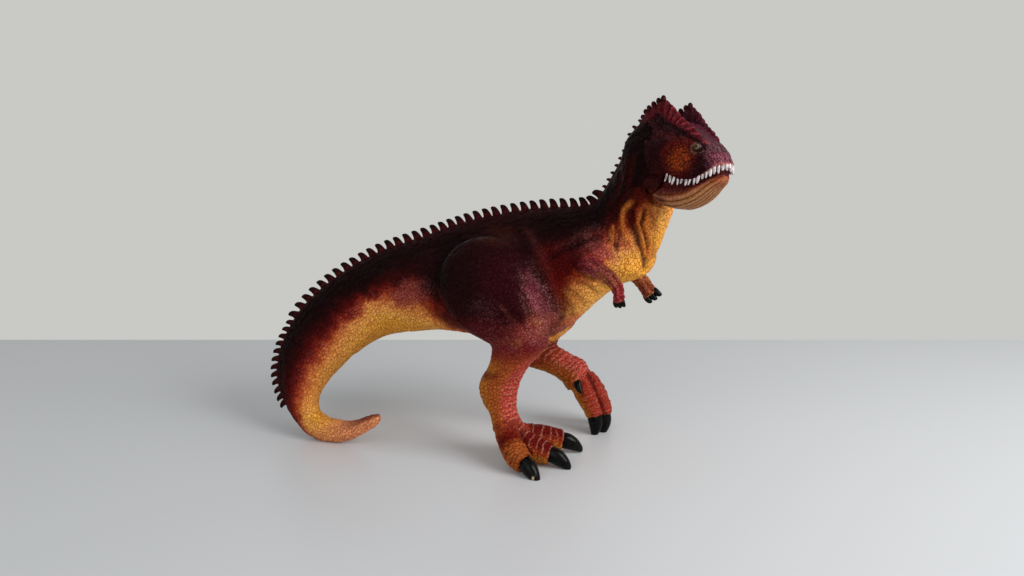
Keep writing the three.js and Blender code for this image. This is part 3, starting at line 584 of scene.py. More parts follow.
def cells(points: np.ndarray, size: float) -> np.ndarray:
    """How far inside its cell of a net each point is, from 0 on the net's lines to about 1."""
    near = [noise.voronoi(Vector(p) / size)[0] for p in points]
    return np.array([distances[1] - distances[0] for distances in near])


def line_distance(points: np.ndarray, line: Sequence) -> tuple[np.ndarray, np.ndarray]:
    """Measures flat points against a bent line.

    Args:
        points: the points.
        line: the corners of the line.

    Returns:
        Each point's distance from the line, and how far along the line it is, from 0 to 1.
    """
    line = np.asarray(line, float)
    lengths = np.linalg.norm(np.diff(line, axis=0), axis=1)
    before = np.concatenate([[0], np.cumsum(lengths)])
    best = np.full(len(points), np.inf)
    along = np.zeros(len(points))
    for i, (a, b) in enumerate(zip(line[:-1], line[1:])):
        share = np.clip((points - a) @ (b - a) / max(lengths[i] ** 2, 1e-12), 0, 1)
        distance = np.linalg.norm(points - a - share[:, None] * (b - a), axis=1)
        nearer = distance < best
        best = np.where(nearer, distance, best)
        along = np.where(nearer, (before[i] + share * lengths[i]) / before[-1], along)
    return best, along


# Colours and nodes

def linear(colour: str) -> np.ndarray:
    """Turns an sRGB hex colour into linear light."""
    value = np.array([int(colour[i:i + 2], 16) / 255 for i in (1, 3, 5)])
    return np.where(value <= 0.04045, value / 12.92, ((value + 0.055) / 1.055) ** 2.4)


def plain(colour: str, points: np.ndarray) -> np.ndarray:
    """One colour for every point, in linear light."""
    return np.tile(linear(colour), (len(points), 1))


def coated(colours: np.ndarray, *coats: tuple[str, np.ndarray]) -> np.ndarray:
    """Paints one coat after another over a table of colours.

    Args:
        colours: the colours below, in linear light.
        coats: the colour of each coat, and how much of it lies on each point.

    Returns:
        The new colours.
    """
    for colour, mask in coats:
        mask = np.clip(mask, 0, 1)[:, None]
        colours = colours * (1 - mask) + linear(colour) * mask
    return colours


def paint(obj: bpy.types.Object, colours: np.ndarray, wear_and_sheen: np.ndarray | float = 0.3) -> None:
    """Stores a colour for each point of an object, for its material to read.

    Args:
        obj: the object.
        colours: the colours, in linear light.
        wear_and_sheen: how much painted sheen lies pale on the skin's crests, from 0 to 1.
    """
    layer = obj.data.color_attributes.new("Paint", "FLOAT_COLOR", "POINT")
    values = np.column_stack([np.clip(colours, 0, 1), np.broadcast_to(wear_and_sheen, len(colours))])
    layer.data.foreach_set("color", values.astype(np.float32).ravel())


def add_node(tree: bpy.types.NodeTree, kind: str, links: dict | None = None,
             **settings: object) -> bpy.types.Node:
    """Adds a node with its settings and links.

    Args:
        tree: the node tree.
        kind: the node's type.
        links: for each input, by name or number, a value or a socket to link from.
        settings: the node's own properties.

    Returns:
        The new node.
    """
    node = tree.nodes.new(kind)
    for key, value in settings.items():
        setattr(node, key, value)
    for key, value in (links or {}).items():
        if isinstance(value, bpy.types.NodeSocket):
            tree.links.new(value, node.inputs[key])
        else:
            node.inputs[key].default_value = value
    return node


def fresh_material(name: str) -> tuple[bpy.types.Material, bpy.types.NodeTree]:
    """A new material of this name, and its node tree, which is still empty."""
    material = bpy.data.materials.new(name)
    material.use_nodes = True
    material.node_tree.nodes.clear()
    return material, material.node_tree


@dataclass(frozen=True)
class PaintedVinyl:
    """Soft PVC, injection moulded and sprayed with a thin satin paint, which lies dark in the skin's net.

    The paint's colour is read from the mesh, and the net, the skin lines and the grain are set in real sizes.
    """

    name: str
    net: float = 1.45 * MM
    swirl: float = 4.6 * MM
    wrinkle: float = 3.6 * MM
    depth: float = 0.36 * MM
    wash: float = 0.85
    # Painted sheen: how much pale colour lies on the skin's crests, and its colour, in place of glints of
    # light
    sheen_strength: float = 0.42
    sheen_colour: str = "#C07E78"
    roughness: float = 0.36
    reflection: float = 0.035

    def material(self) -> bpy.types.Material:
        """Builds the node material."""
        material, tree = fresh_material(self.name)
        place = add_node(tree, "ShaderNodeTexCoord").outputs["Object"]
        crest = self.net_crest(tree, place)
        fine = add_node(tree, "ShaderNodeTexNoise", {
            "Vector": place, "Scale": 1 / (0.75 * MM), "Detail": 3.0, "Roughness": 0.6}).outputs["Fac"]
        folds = add_node(tree, "ShaderNodeTexNoise", {
            "Vector": place, "Scale": 1 / self.wrinkle, "Detail": 3.0, "Roughness": 0.55}).outputs["Fac"]
        colour = self.colour(tree, crest, folds)
        height = add_node(tree, "ShaderNodeMath", {0: folds, 1: 1.2, 2: crest}, operation="MULTIPLY_ADD")
        height = add_node(tree, "ShaderNodeMath", {
            0: fine, 1: 0.35, 2: height.outputs[0]}, operation="MULTIPLY_ADD")
        bump = add_node(tree, "ShaderNodeBump", {
            "Height": height.outputs[0], "Strength": 1.0, "Distance": self.depth})
        gloss = add_node(tree, "ShaderNodeMapRange", {
            "Value": fine, "From Min": 0.3, "From Max": 0.7,
            "To Min": self.roughness - 0.06, "To Max": self.roughness + 0.1})
        shader = add_node(tree, "ShaderNodeBsdfPrincipled", {
            "Base Color": colour, "Roughness": gloss.outputs[0], "Normal": bump.outputs[0],
            "Specular IOR Level": self.reflection})
        add_node(tree, "ShaderNodeOutputMaterial", {"Surface": shader.outputs[0]})
        return material

    def net_crest(self, tree: bpy.types.NodeTree, place: bpy.types.NodeSocket) -> bpy.types.NodeSocket:
        """How high each spot is on the skin, from 0 in the grooves of its net and lines to 1 between them.

        Args:
            tree: the material's node tree.
            place: the socket with the place on the object.

        Returns:
            The socket with the height.
        """
        warp = add_node(tree, "ShaderNodeTexNoise", {
            "Vector": place, "Scale": 1 / (2 * self.net), "Detail": 2.0, "Roughness": 0.6})
        bent = add_node(tree, "ShaderNodeVectorMath", {
            0: warp.outputs["Color"], 1: (1.2 * self.net,) * 3, 2: place}, operation="MULTIPLY_ADD")
        drawn = add_node(tree, "ShaderNodeMapping", {
            "Vector": bent.outputs[0], "Rotation": (0, math.radians(-50), 0), "Scale": (1.5, 1.0, 0.9)},
            vector_type="TEXTURE")
        net = add_node(tree, "ShaderNodeTexVoronoi", {
            "Vector": drawn.outputs[0], "Scale": 1 / self.net, "Randomness": 1.0}, feature="DISTANCE_TO_EDGE")
        cells = add_node(tree, "ShaderNodeMapRange", {
            "Value": net.outputs["Distance"], "From Min": 0.0, "From Max": 0.14, "To Min": 0.05},
            interpolation_type="SMOOTHSTEP")
        swirl = add_node(tree, "ShaderNodeTexNoise", {
            "Vector": place, "Scale": 1 / self.swirl, "Detail": 1.0, "Roughness": 0.45, "Distortion": 0.5})
        turns = add_node(tree, "ShaderNodeMath", {
            0: swirl.outputs["Fac"], 1: self.swirl / (0.5 * self.net)}, operation="MULTIPLY")
        turns = add_node(tree, "ShaderNodeMath", {0: turns.outputs[0], 1: 0.5}, operation="PINGPONG")
        lines = add_node(tree, "ShaderNodeMapRange", {
            "Value": turns.outputs[0], "From Min": 0.0, "From Max": 0.2, "To Min": 0.5},
            interpolation_type="SMOOTHSTEP")
        return add_node(tree, "ShaderNodeMath", {
            0: cells.outputs[0], 1: lines.outputs[0]}, operation="MULTIPLY").outputs[0]

    def colour(self, tree: bpy.types.NodeTree, crest: bpy.types.NodeSocket,
               folds: bpy.types.NodeSocket) -> bpy.types.NodeSocket:
        """The paint's colour: darker in the skin's grooves, with a painted sheen of pale colour on its
        crests.

        Args:
            tree: the material's node tree.
            crest: the socket with the height on the skin's net.
            folds: the socket with the height on its small folds.

        Returns:
            The socket with the colour.
        """
        paint_in = add_node(tree, "ShaderNodeAttribute", attribute_name="Paint")
        groove = add_node(tree, "ShaderNodeMapRange", {
            "Value": crest, "From Min": 0.0, "From Max": 0.55, "To Min": self.wash, "To Max": 0.0})
        washed = add_node(tree, "ShaderNodeMix", {
            "Factor": groove.outputs[0], 6: paint_in.outputs["Color"], 7: (0.4, 0.12, 0.07, 1)},
            data_type="RGBA", blend_type="MULTIPLY")
        # Painted sheen: pale colour on the crests, where the folds and the paint's alpha put it
        sheen = add_node(tree, "ShaderNodeMapRange", {
            "Value": folds, "From Min": 0.3, "From Max": 0.65, "To Max": self.sheen_strength})
        raised = add_node(tree, "ShaderNodeMapRange", {"Value": crest, "From Min": 0.3, "From Max": 1.0})
        sheen = add_node(tree, "ShaderNodeMath", {
            0: sheen.outputs[0], 1: paint_in.outputs["Alpha"]}, operation="MULTIPLY")
        sheen = add_node(tree, "ShaderNodeMath", {
            0: sheen.outputs[0], 1: raised.outputs[0]}, operation="MULTIPLY")
        wear_and_sheen = add_node(tree, "ShaderNodeMix", {
            "Factor": sheen.outputs[0], 6: washed.outputs[2], 7: (*linear(self.sheen_colour), 1)},
            data_type="RGBA")
        return wear_and_sheen.outputs[2]


@dataclass(frozen=True)
class WireSteel:
    """Plain drawn steel wire: bright, with fine scratches round it."""

    name: str = "drawn steel wire"

    def material(self) -> bpy.types.Material:
        """Builds the node material."""
        material, tree = fresh_material(self.name)
        place = add_node(tree, "ShaderNodeTexCoord").outputs["Object"]
        scratch = add_node(tree, "ShaderNodeTexNoise", {
            "Vector": place, "Scale": 1 / (0.25 * MM), "Detail": 3.0}).outputs["Fac"]
        gloss = add_node(tree, "ShaderNodeMapRange", {"Value": scratch, "To Min": 0.22, "To Max": 0.45})
        shade = add_node(tree, "ShaderNodeMix", {
            "Factor": scratch, 6: (*linear("#A9ABAE"), 1), 7: (*linear("#C6C8CA"), 1)}, data_type="RGBA")
        bump = add_node(tree, "ShaderNodeBump", {"Height": scratch, "Distance": 0.01 * MM})
        shader = add_node(tree, "ShaderNodeBsdfPrincipled", {
            "Base Color": shade.outputs[2], "Metallic": 1.0, "Roughness": gloss.outputs[0],
            "Normal": bump.outputs[0]})
        add_node(tree, "ShaderNodeOutputMaterial", {"Surface": shader.outputs[0]})
        return material


@dataclass(frozen=True)
class TableTop:
    """Pale melamine board: satin, with a faint grain."""

    name: str = "pale melamine board"
    colour: str = "#CFD1D3"

    def material(self) -> bpy.types.Material:
        """Builds the node material."""
        material, tree = fresh_material(self.name)
        place = add_node(tree, "ShaderNodeTexCoord").outputs["Object"]
        grain = add_node(tree, "ShaderNodeTexNoise", {
            "Vector": place, "Scale": 1 / (1.6 * MM), "Detail": 2.0}).outputs["Fac"]
        bump = add_node(tree, "ShaderNodeBump", {"Height": grain, "Strength": 0.3, "Distance": 0.05 * MM})
        shader = add_node(tree, "ShaderNodeBsdfPrincipled", {
            "Base Color": (*linear(self.colour), 1), "Roughness": 0.38, "Normal": bump.outputs[0]})
        add_node(tree, "ShaderNodeOutputMaterial", {"Surface": shader.outputs[0]})
        return material


SKIN = PaintedVinyl("satin paint on soft vinyl, body")
SHANK_SKIN = PaintedVinyl("satin paint on soft vinyl, legs")
HEAD_SKIN = PaintedVinyl("satin paint on soft vinyl, head", net=1.15 * MM, swirl=3 * MM, wrinkle=1.6 * MM,
                         depth=0.24 * MM, sheen_strength=0.6, sheen_colour="#B47C88")
JAW_SKIN = PaintedVinyl("satin paint on soft vinyl, jaw", net=1.4 * MM, swirl=5 * MM, wrinkle=2.4 * MM,
                        depth=0.18 * MM, wash=0.45, sheen_strength=0.4)
FIN_SKIN = PaintedVinyl("satin paint on soft vinyl, fins", net=1.4 * MM, depth=0.1 * MM, sheen_strength=0.2)
CLAW_GLOSS = PaintedVinyl("gloss black paint on vinyl claws", net=3 * MM, swirl=9 * MM, wrinkle=5 * MM,
                          depth=0.03 * MM, wash=0.2, sheen_strength=0.1, sheen_colour="#6A6460", roughness=0.14,
                          reflection=0.1)
TOOTH_GLOSS = PaintedVinyl("white gloss paint on vinyl teeth", net=1.6 * MM, swirl=4 * MM, wrinkle=3 * MM,
                           depth=0.05 * MM, wash=0.25, sheen_strength=0.2, sheen_colour="#F0ECE8", roughness=0.28,
                           reflection=0.3)
EYE_GLOSS = PaintedVinyl("gloss paint on vinyl eyes", net=1.2 * MM, swirl=3 * MM, wrinkle=3 * MM,
                         depth=0.03 * MM, wash=0.3, sheen_strength=0.1, sheen_colour="#B99A74", roughness=0.3,
                         reflection=0.25)


@dataclass(frozen=True)
class Anatomy:
    """The driving sizes of the figure, in metres, and how its head is turned, in degrees."""

    hip_height: float = 100 * MM
    back_length: float = 100 * MM
    trunk_width: float = 50 * MM
    neck_swing: float = 12 * MM
    tail_swing: float = 35 * MM
    leg_width: float = 26 * MM
    leg_spread: float = 26 * MM
    toe_width: float = 12 * MM
    arm_length: float = 40 * MM
    arm_width: float = 10 * MM
    head_height: float = 50 * MM
    head_width: float = 27 * MM
    crest_width: float = 2.8 * MM
    claw_length: float = 11 * MM
    claw_width: float = 7.5 * MM
    tooth_length: float = 4 * MM
    tooth_width: float = 2.2 * MM
    fin_height: float = 3.7 * MM
    fin_length: float = 4.7 * MM
    fin_width: float = 2.8 * MM
    barrel_radius: float = 4.8 * MM
    barrel_width: float = 16 * MM
    cheek_radius: float = 7 * MM
    running_gap: float = 0.4 * MM
    mouth_opening: float = 24.0
    head_turn: tuple[float, float, float] = (-8.0, -6.0, -28.0)
    head_place: tuple[float, float, float] = (0.76, -1.225, 1.285)
    hinge_place: tuple[float, float, float] = (-0.01, 0.0, 0.1)
    shoulder_place: tuple[float, float] = (0.47, 1.02)

    def unshifted_head(self) -> Matrix:
        """The head's own frame before the figure is centred over its origin."""
        turn = Euler([math.radians(angle) for angle in self.head_turn], "XYZ").to_matrix().to_4x4()
        place = Vector((self.back_length * self.head_place[0], self.neck_swing * self.head_place[1],
                        self.hip_height * self.head_place[2]))
        return Matrix.Translation(place) @ turn

    def hinge(self) -> Vector:
        """The jaw's hinge in the head's own frame."""
        return Vector(self.hinge_place) * self.head_height

    def shift(self) -> Vector:
        """How far the figure is moved so that its box stands over the origin."""
        return Vector(frame["joints"][0]["pos_m"]) - self.unshifted_head() @ self.hinge()

    def head_frame(self) -> Matrix:
        """The head's own frame: +X to the snout, +Y to its left, +Z to its crown."""
        return Matrix.Translation(self.shift()) @ self.unshifted_head()

    def body_loft(self) -> Loft:
        """Neck, trunk and tail."""
        rows = [(*row, self.neck_swing) for row in NECK_ROWS + TRUNK_ROWS]
        rows += [(*row, self.tail_swing) for row in TAIL_ROWS]
        table = np.array(rows)
        side = -table[:, 4] * table[:, 6]
        high = np.column_stack([table[:, 0] * self.back_length, side, table[:, 1] * self.hip_height])
        low = np.column_stack([table[:, 2] * self.back_length, side, table[:, 3] * self.hip_height])
        return self.shifted(Loft(high, low, table[:, 5] * self.trunk_width))

    def leg_loft(self, side: Side) -> Loft:
        """Thigh, shank and ankle of one side."""
        table = np.array(RIGHT_LEG_ROWS if side is Side.RIGHT else LEFT_LEG_ROWS)
        out = side.value * self.leg_spread * table[:, 4]
        high = np.column_stack([table[:, 0] * self.hip_height, out, table[:, 1] * self.hip_height])
        low = np.column_stack([table[:, 2] * self.hip_height, out, table[:, 3] * self.hip_height])
        return self.shifted(Loft(high, low, table[:, 5] * self.leg_width))

    def toe_places(self, side: Side) -> list[tuple[np.ndarray, np.ndarray]]:
        """The places and sizes of the three toes of one foot, outer, middle and inner.

        Args:
            side: the foot's side.

        Returns:
            For each toe its places, and half its height and width at each of them.
        """
        toes = []
        for rows in RIGHT_TOE_ROWS if side is Side.RIGHT else LEFT_TOE_ROWS:
            table = np.array(rows)
            places = np.column_stack([
                table[:, 0] * self.hip_height,
                side.value * (self.leg_spread + self.toe_width * table[:, 2]),
                table[:, 1] * self.hip_height]) + np.array(self.shift())
            toes.append((places, table[:, 3:] * self.toe_width))
        return toes

    def toe_lofts(self, side: Side, steps: int) -> list[Loft]:
        """The three toes of one foot as lofts."""
        return [path_loft(places, sizes, steps) for places, sizes in self.toe_places(side)]

    def arm_places(self, side: Side) -> list[tuple[np.ndarray, np.ndarray]]:
        """The places and sizes of the upper arm and the forearm of one side.

        Args:
            side: the arm's side.

        Returns:
            For each of the two its places, and half its height and width at each of them.
        """
        bones = []
        for rows in RIGHT_ARM_ROWS if side is Side.RIGHT else LEFT_ARM_ROWS:
            table = np.array(rows)
            places = np.column_stack([
                table[:, 0] * self.arm_length + self.shoulder_place[0] * self.back_length,
                side.value * self.trunk_width * table[:, 2],
                table[:, 1] * self.arm_length + self.shoulder_place[1] * self.hip_height])
            bones.append((places + np.array(self.shift()), table[:, 3:] * self.arm_width))
        return bones

    def arm_lofts(self, side: Side, steps: int) -> list[Loft]:
        """The upper arm and the forearm of one side as lofts."""
        return [path_loft(places, sizes, steps) for places, sizes in self.arm_places(side)]

    def head_loft(self, rows: Sequence, rise: float = 0.0) -> Loft:
        """A loft across the head from a table of along, top, bottom and half width, in the head's frame.

        Args:
            rows: the table.
            rise: how much higher the top is made.

        Returns:
            The loft.
        """
        table = np.array(rows, float)
        along, top, bottom = (table[:, k] * self.head_height for k in range(3))
        flat = np.zeros(len(table))
        return Loft(np.column_stack([along, flat, top + rise]), np.column_stack([along, flat, bottom]),
                    table[:, 3] * self.head_width)

    def crest_loft(self, side: Side) -> Loft:
        """One brow crest, in the head's frame.

        Args:
            side: the crest's side.

        Returns:
            The loft.
        """
        table = np.array(CREST_ROWS)
        out = side.value * self.head_width * table[:, 3]
        along = table[:, 0] * self.head_height
        return Loft(np.column_stack([along, out, table[:, 1] * self.head_height]),
                    np.column_stack([along, out, table[:, 2] * self.head_height]),
                    table[:, 4] * self.crest_width)

    def shifted(self, loft: Loft) -> Loft:
        """A loft moved with the whole figure."""
        shift = np.array(self.shift())
        return Loft(loft.high + shift, loft.low + shift, loft.half)

    def unshifted(self, points: np.ndarray) -> np.ndarray:
        """Points as they lie before the figure is centred."""
        return points - np.array(self.shift())


ANATOMY = Anatomy()


def cylinder_across(radius: float, length: float) -> bpy.types.Object:
    """A round bar across the head at the jaw's hinge, in the head's frame."""
    bpy.ops.mesh.primitive_cylinder_add(
        vertices=96, radius=radius, depth=length, location=ANATOMY.hinge(), rotation=(math.pi / 2, 0, 0))
    bpy.ops.object.transform_apply(location=True, rotation=True, scale=True)
    return bpy.context.view_layer.objects.active


def box_between(near: Sequence[float], far: Sequence[float]) -> bpy.types.Object:
    """A box between two corners."""
    near, far = Vector(near), Vector(far)
    bpy.ops.mesh.primitive_cube_add(size=1, location=(near + far) / 2, scale=far - near)
    bpy.ops.object.transform_apply(location=True, rotation=True, scale=True)
    return bpy.context.view_layer.objects.active


def cut(obj: bpy.types.Object, tool: bpy.types.Object, operation: str = "DIFFERENCE") -> bpy.types.Object:
    """Cuts one closed piece with another, which is used up."""
    modified(obj, "BOOLEAN", object=tool, operation=operation, solver="MANIFOLD")
    bpy.data.objects.remove(tool)
    return obj


def horn(name: str, stages: Sequence[Sequence[float]], levels: int = 2) -> bpy.types.Object:
    """Grows a closed horn out of a flat foot by extruding its end face from stage to stage.

    Args:
        name: the piece's name.
        stages: for each stage its rise, lean, length and width.
        levels: how finely it is rounded.

    Returns:
        The horn, standing on the origin along +Z and leaning along +X.
    """
    bpy.ops.mesh.primitive_cube_add(size=1)
    obj = bpy.context.view_layer.objects.active
    obj.name = name
    foot, first = stages[0], stages[1]
    bpy.ops.object.mode_set(mode="EDIT")
    bpy.ops.mesh.select_all(action="SELECT")
    bpy.ops.transform.resize(value=(foot[2], foot[3], first[0] - foot[0]))
    bpy.ops.transform.translate(value=(foot[1], 0, (first[0] + foot[0]) / 2))
    bpy.ops.mesh.select_all(action="DESELECT")
    bm = bmesh.from_edit_mesh(obj.data)
    max(bm.faces, key=lambda face: face.calc_center_median().z).select = True
    bmesh.update_edit_mesh(obj.data)
    bpy.ops.transform.translate(value=(first[1] - foot[1], 0, 0))
    bpy.ops.transform.resize(value=(first[2] / foot[2], first[3] / foot[3], 1))
    for before, after in zip(stages[1:], stages[2:]):
        bpy.ops.mesh.extrude_region_move(
            TRANSFORM_OT_translate={"value": (after[1] - before[1], 0, after[0] - before[0])})
        bpy.ops.transform.resize(value=(after[2] / before[2], after[3] / before[3], 1))
    bpy.ops.object.mode_set(mode="OBJECT")
    if levels:
        modified(obj, "SUBSURF", levels=levels)
    return obj


def standing(place: Sequence, along: Sequence, lean: Sequence) -> Matrix:
    """The matrix that puts a horn at a place, pointing one way and leaning another."""
    axis_z = Vector(along).normalized()
    axis_y = axis_z.cross(Vector(lean)).normalized()
    axis_x = axis_y.cross(axis_z)
    turn = Matrix((axis_x, axis_y, axis_z)).transposed().to_4x4()
    return Matrix.Translation(Vector(place)) @ turn


def copied(model: bpy.types.Object, places: Iterable[Matrix], name: str) -> bpy.types.Object:
    """Copies a model to each place, each copy with its own mesh, and joins them under a name.

    Args:
        model: the model, which is used up.
        places: the matrix of each copy.
        name: the name of the joined object.

    Returns:
        The joined object.
    """
    made = []
    for place in places:
        twin = model.copy()
        twin.data = model.data.copy()
        twin.data.transform(place)
        bpy.context.scene.collection.objects.link(twin)
        made.append(twin)
    bpy.data.objects.remove(model)
    return joined(name, made)


def finished(obj: bpy.types.Object, body: str, node: str, material: bpy.types.Material,
             sharp: float | None = None) -> bpy.types.Object:
    """Gives a piece its material, shading and body, hides the moulding that it stands for, and logs it.

    Args:
        obj: the piece.
        body: the moving body that carries it.
        node: the moulding that it stands for.
        material: its material.
        sharp: the angle in degrees beyond which its edges stay sharp, or none.

    Returns:
        The same piece.
    """
    obj.data.materials.clear()
    obj.data.materials.append(material)
    select_only(obj)
    if sharp is None:
        bpy.ops.object.shade_smooth()
    else:
        bpy.ops.object.shade_smooth_by_angle(angle=math.radians(sharp))
    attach(obj, body)
    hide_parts(node)
    LOG.info("%s: %d faces", obj.name, len(obj.data.polygons))
    return obj


@dataclass
class TrunkMap:
    """Where points lie on the trunk: how far along its stations, and how high between belly and back."""

    loft: Loft
    steps: int = 600
    sides: int = 40
    samples: np.ndarray = field(init=False)
    fine: Loft = field(init=False)

    def __post_init__(self) -> None:
        """Samples the trunk's surface."""
        self.fine = self.loft.sampled(self.steps)
        self.samples = self.fine.surface(closed_section(TRUNK_SECTION, self.sides))

    def locate(self, points: np.ndarray) -> tuple[np.ndarray, np.ndarray, np.ndarray]:
        """Finds where points lie on the trunk.

        Args:
            points: the points.

        Returns:
            The station, the height share and the sideways share of each point.
        """
        index, _ = nearest_of(self.samples, points)
        ring = index // self.sides
        low = self.fine.low[ring]
        share = share_between(points, low, self.fine.high[ring])
        _, _, sideways = self.fine.axes()
        across = np.einsum("ij,ij->i", points - low, sideways[ring]) / self.fine.half[ring]
        return ring / self.steps * (len(self.loft.half) - 1), share, across


@dataclass
class LimbMap:
    """Where points lie on a limb: how far along its stations, and how far to its front."""

    loft: Loft
    steps: int = 160
    sides: int = 32

    def locate(self, points: np.ndarray) -> tuple[np.ndarray, np.ndarray, np.ndarray]:
        """Finds where points lie on the limb.

        Args:
            points: the points.

        Returns:
            The station, the front share and the distance from the surface of each point.
        """
        fine = self.loft.sampled(self.steps)
        index, distance = nearest_of(fine.surface(round_section(self.sides)), points)
        ring = index // self.sides
        share = share_between(points, fine.low[ring], fine.high[ring])
        return ring / self.steps * (len(self.loft.half) - 1), share, distance


@dataclass(frozen=True)
class Stroke:
    """A crease or ridge pressed into the skin along a line.

    The line is seen from the side, as along and up. The depth is below zero for a groove.
    """

    line: tuple[tuple[float, float], ...]
    depth: float
    width: float

    def mask(self, places: np.ndarray) -> np.ndarray:
        """How much of the stroke is at each place, fading at both ends."""
        distance, along = line_distance(places, self.line)
        return bell(distance, self.width) * ramp(along, -0.02, 0.15) * ramp(-along, -1.02, -0.85)


@dataclass(frozen=True)
class Patch:
    """A soft patch on the figure's sides, seen from the side, in millimetres.

    The place is along and up before the figure is centred, and the turn is in degrees.
    """

    place: tuple[float, float]
    reach: tuple[float, float]
    turn: float
    amount: float

    def mask(self, places: np.ndarray) -> np.ndarray:
        """How much of the patch lies on each place, fading all round."""
        angle = math.radians(self.turn)
        away = places - self.place
        long = (away[:, 0] * math.cos(angle) + away[:, 1] * math.sin(angle)) / self.reach[0]
        wide = (away[:, 1] * math.cos(angle) - away[:, 0] * math.sin(angle)) / self.reach[1]
        return self.amount * ramp(-np.hypot(long, wide), -1.0, -0.3)


@dataclass(frozen=True)
class ColourPatch(Patch):
    """A soft patch of colour: sprayed paint, and at some places a painted highlight."""

    colour: str


# Folds that start further along than this, in millimetres, lie in the gold of the front, with their own
# painted shade and highlight
FRONT_FOLDS_FROM = 27

# Folds of the trunk's sides, as along and up in millimetres before the figure is centred
TRUNK_STROKES = (
    Stroke(((24, 96.6), (31, 102), (38, 105.5), (45, 108.1), (50.4, 107.9)), -1.0, 1.5),
    Stroke(((26.9, 101.6), (32, 105.2), (39, 108.7), (46, 111.2)), 0.2, 1.6),
    Stroke(((2.2, 110), (9.5, 108.5), (15.5, 103), (20.5, 94), (26, 82), (29.8, 68)), -0.9, 2.0),
    Stroke(((8, 112), (15, 108), (21, 101), (26.5, 91), (31, 79)), 0.3, 1.8),
    Stroke(((-21.3, 107), (-26.5, 98), (-28.3, 87.8), (-26, 75.8), (-18.5, 64.5), (-8.5, 58)), -0.5, 2.6),
    Stroke(((35.8, 97.3), (40.6, 93), (47.6, 88)), -0.7, 1.6),
    Stroke(((48.7, 97.4), (54.4, 91.3), (57.3, 85.1), (56.5, 80.4)), -0.5, 1.3),
    Stroke(((44.7, 91.5), (49.4, 87.2), (52.3, 82.4), (49.7, 76.6)), -0.5, 1.3),
    Stroke(((38, 89), (44.2, 85.7), (47.5, 80.4), (44.4, 73.2)), -0.5, 1.3),
    Stroke(((32.2, 86.5), (38.4, 82.2), (40.9, 76.4), (38.6, 69.7)), -0.45, 1.3),
    Stroke(((33, 80), (35.6, 75), (34.5, 68)), -0.4, 1.2),
    Stroke(((27.9, 58.8), (32.2, 64.9), (36.9, 71.5)), -0.55, 1.2),
    Stroke(((30.2, 57), (34.1, 62.7), (38.8, 68.9)), -0.5, 1.2),
    Stroke(((26, 62), (29.5, 68), (33, 75)), -0.45, 1.2),
    Stroke(((3.5, 84.8), (9.7, 78.3), (16.9, 71.1), (22.6, 65.5)), -0.45, 1.1),
    Stroke(((7.3, 80.5), (13.1, 73.5), (18.8, 67.5)), 0.3, 0.8),
    Stroke(((9, 82.5), (15.5, 75.5), (21.5, 69)), -0.35, 1.0),
    Stroke(((-31, 76), (-19.5, 70.5), (-9, 62)), -0.55, 1.3),
    Stroke(((-38, 79), (-30, 72.1), (-22.1, 66.3), (-14.3, 61.9)), -0.5, 1.2),
    Stroke(((-26.5, 70.3), (-18.6, 65), (-9.3, 60.4)), -0.5, 1.1),
    Stroke(((-45, 78), (-38, 69), (-28, 62)), -0.35, 1.2),
    Stroke(((63, 147), (61.9, 138.4), (60.4, 129.6), (55.2, 121.4), (49, 114.9)), -0.6, 1.5),
    Stroke(((58.5, 146), (57.5, 137), (54.6, 128), (49, 119.5)), -0.45, 1.5),
    Stroke(((65.4, 126), (63, 121.2), (61.9, 116.7), (63.3, 112.6), (64.9, 107.6), (66.3, 102)), -1.15, 1.35),
    Stroke(((64.5, 116.5), (65.7, 110.1), (66.8, 104.6), (67.6, 98.5), (67.4, 91.5)), -1.3, 1.0),
    Stroke(((68.8, 123), (67.3, 115.6), (68.7, 110), (69.4, 104.2), (69.1, 98)), -1.4, 1.0),
    Stroke(((71.6, 109.5), (70.9, 102.5), (69.5, 96.5)), -0.6, 0.65),
    Stroke(((49.8, 115), (52.3, 110.8), (53.8, 106)), -1.0, 1.0),
    Stroke(((55, 115), (54.9, 109.9), (56.3, 104)), -1.0, 0.9),
    Stroke(((58, 114.5), (57, 107.1), (56.3, 101.5)), -0.8, 0.9),
    Stroke(((63.8, 126), (59.1, 121.5), (58.3, 117.4), (58.5, 113), (61.5, 107.6), (63.8, 102.5)), 0.8, 1.15),
    Stroke(((66.8, 120.5), (65.5, 115.6), (66, 111.4), (67.2, 106.2), (68.6, 98.5)), 0.8, 0.7),
    Stroke(((69.6, 121), (68.7, 114.7), (69.8, 109.1), (70.2, 103.1), (68.7, 96.5)), 0.85, 0.75),
    Stroke(((54, 114.8), (54.7, 109.5), (54.7, 106)), 0.55, 0.7),
    Stroke(((52, 113), (53.6, 108.5), (53.6, 104.5)), 0.4, 0.7),
    Stroke(((-33, 82), (-29, 74), (-20, 67), (-9, 61.5)), 0.35, 0.8),
    Stroke(((-41, 84), (-37, 76), (-29, 69), (-17, 63)), 0.3, 0.7),
)

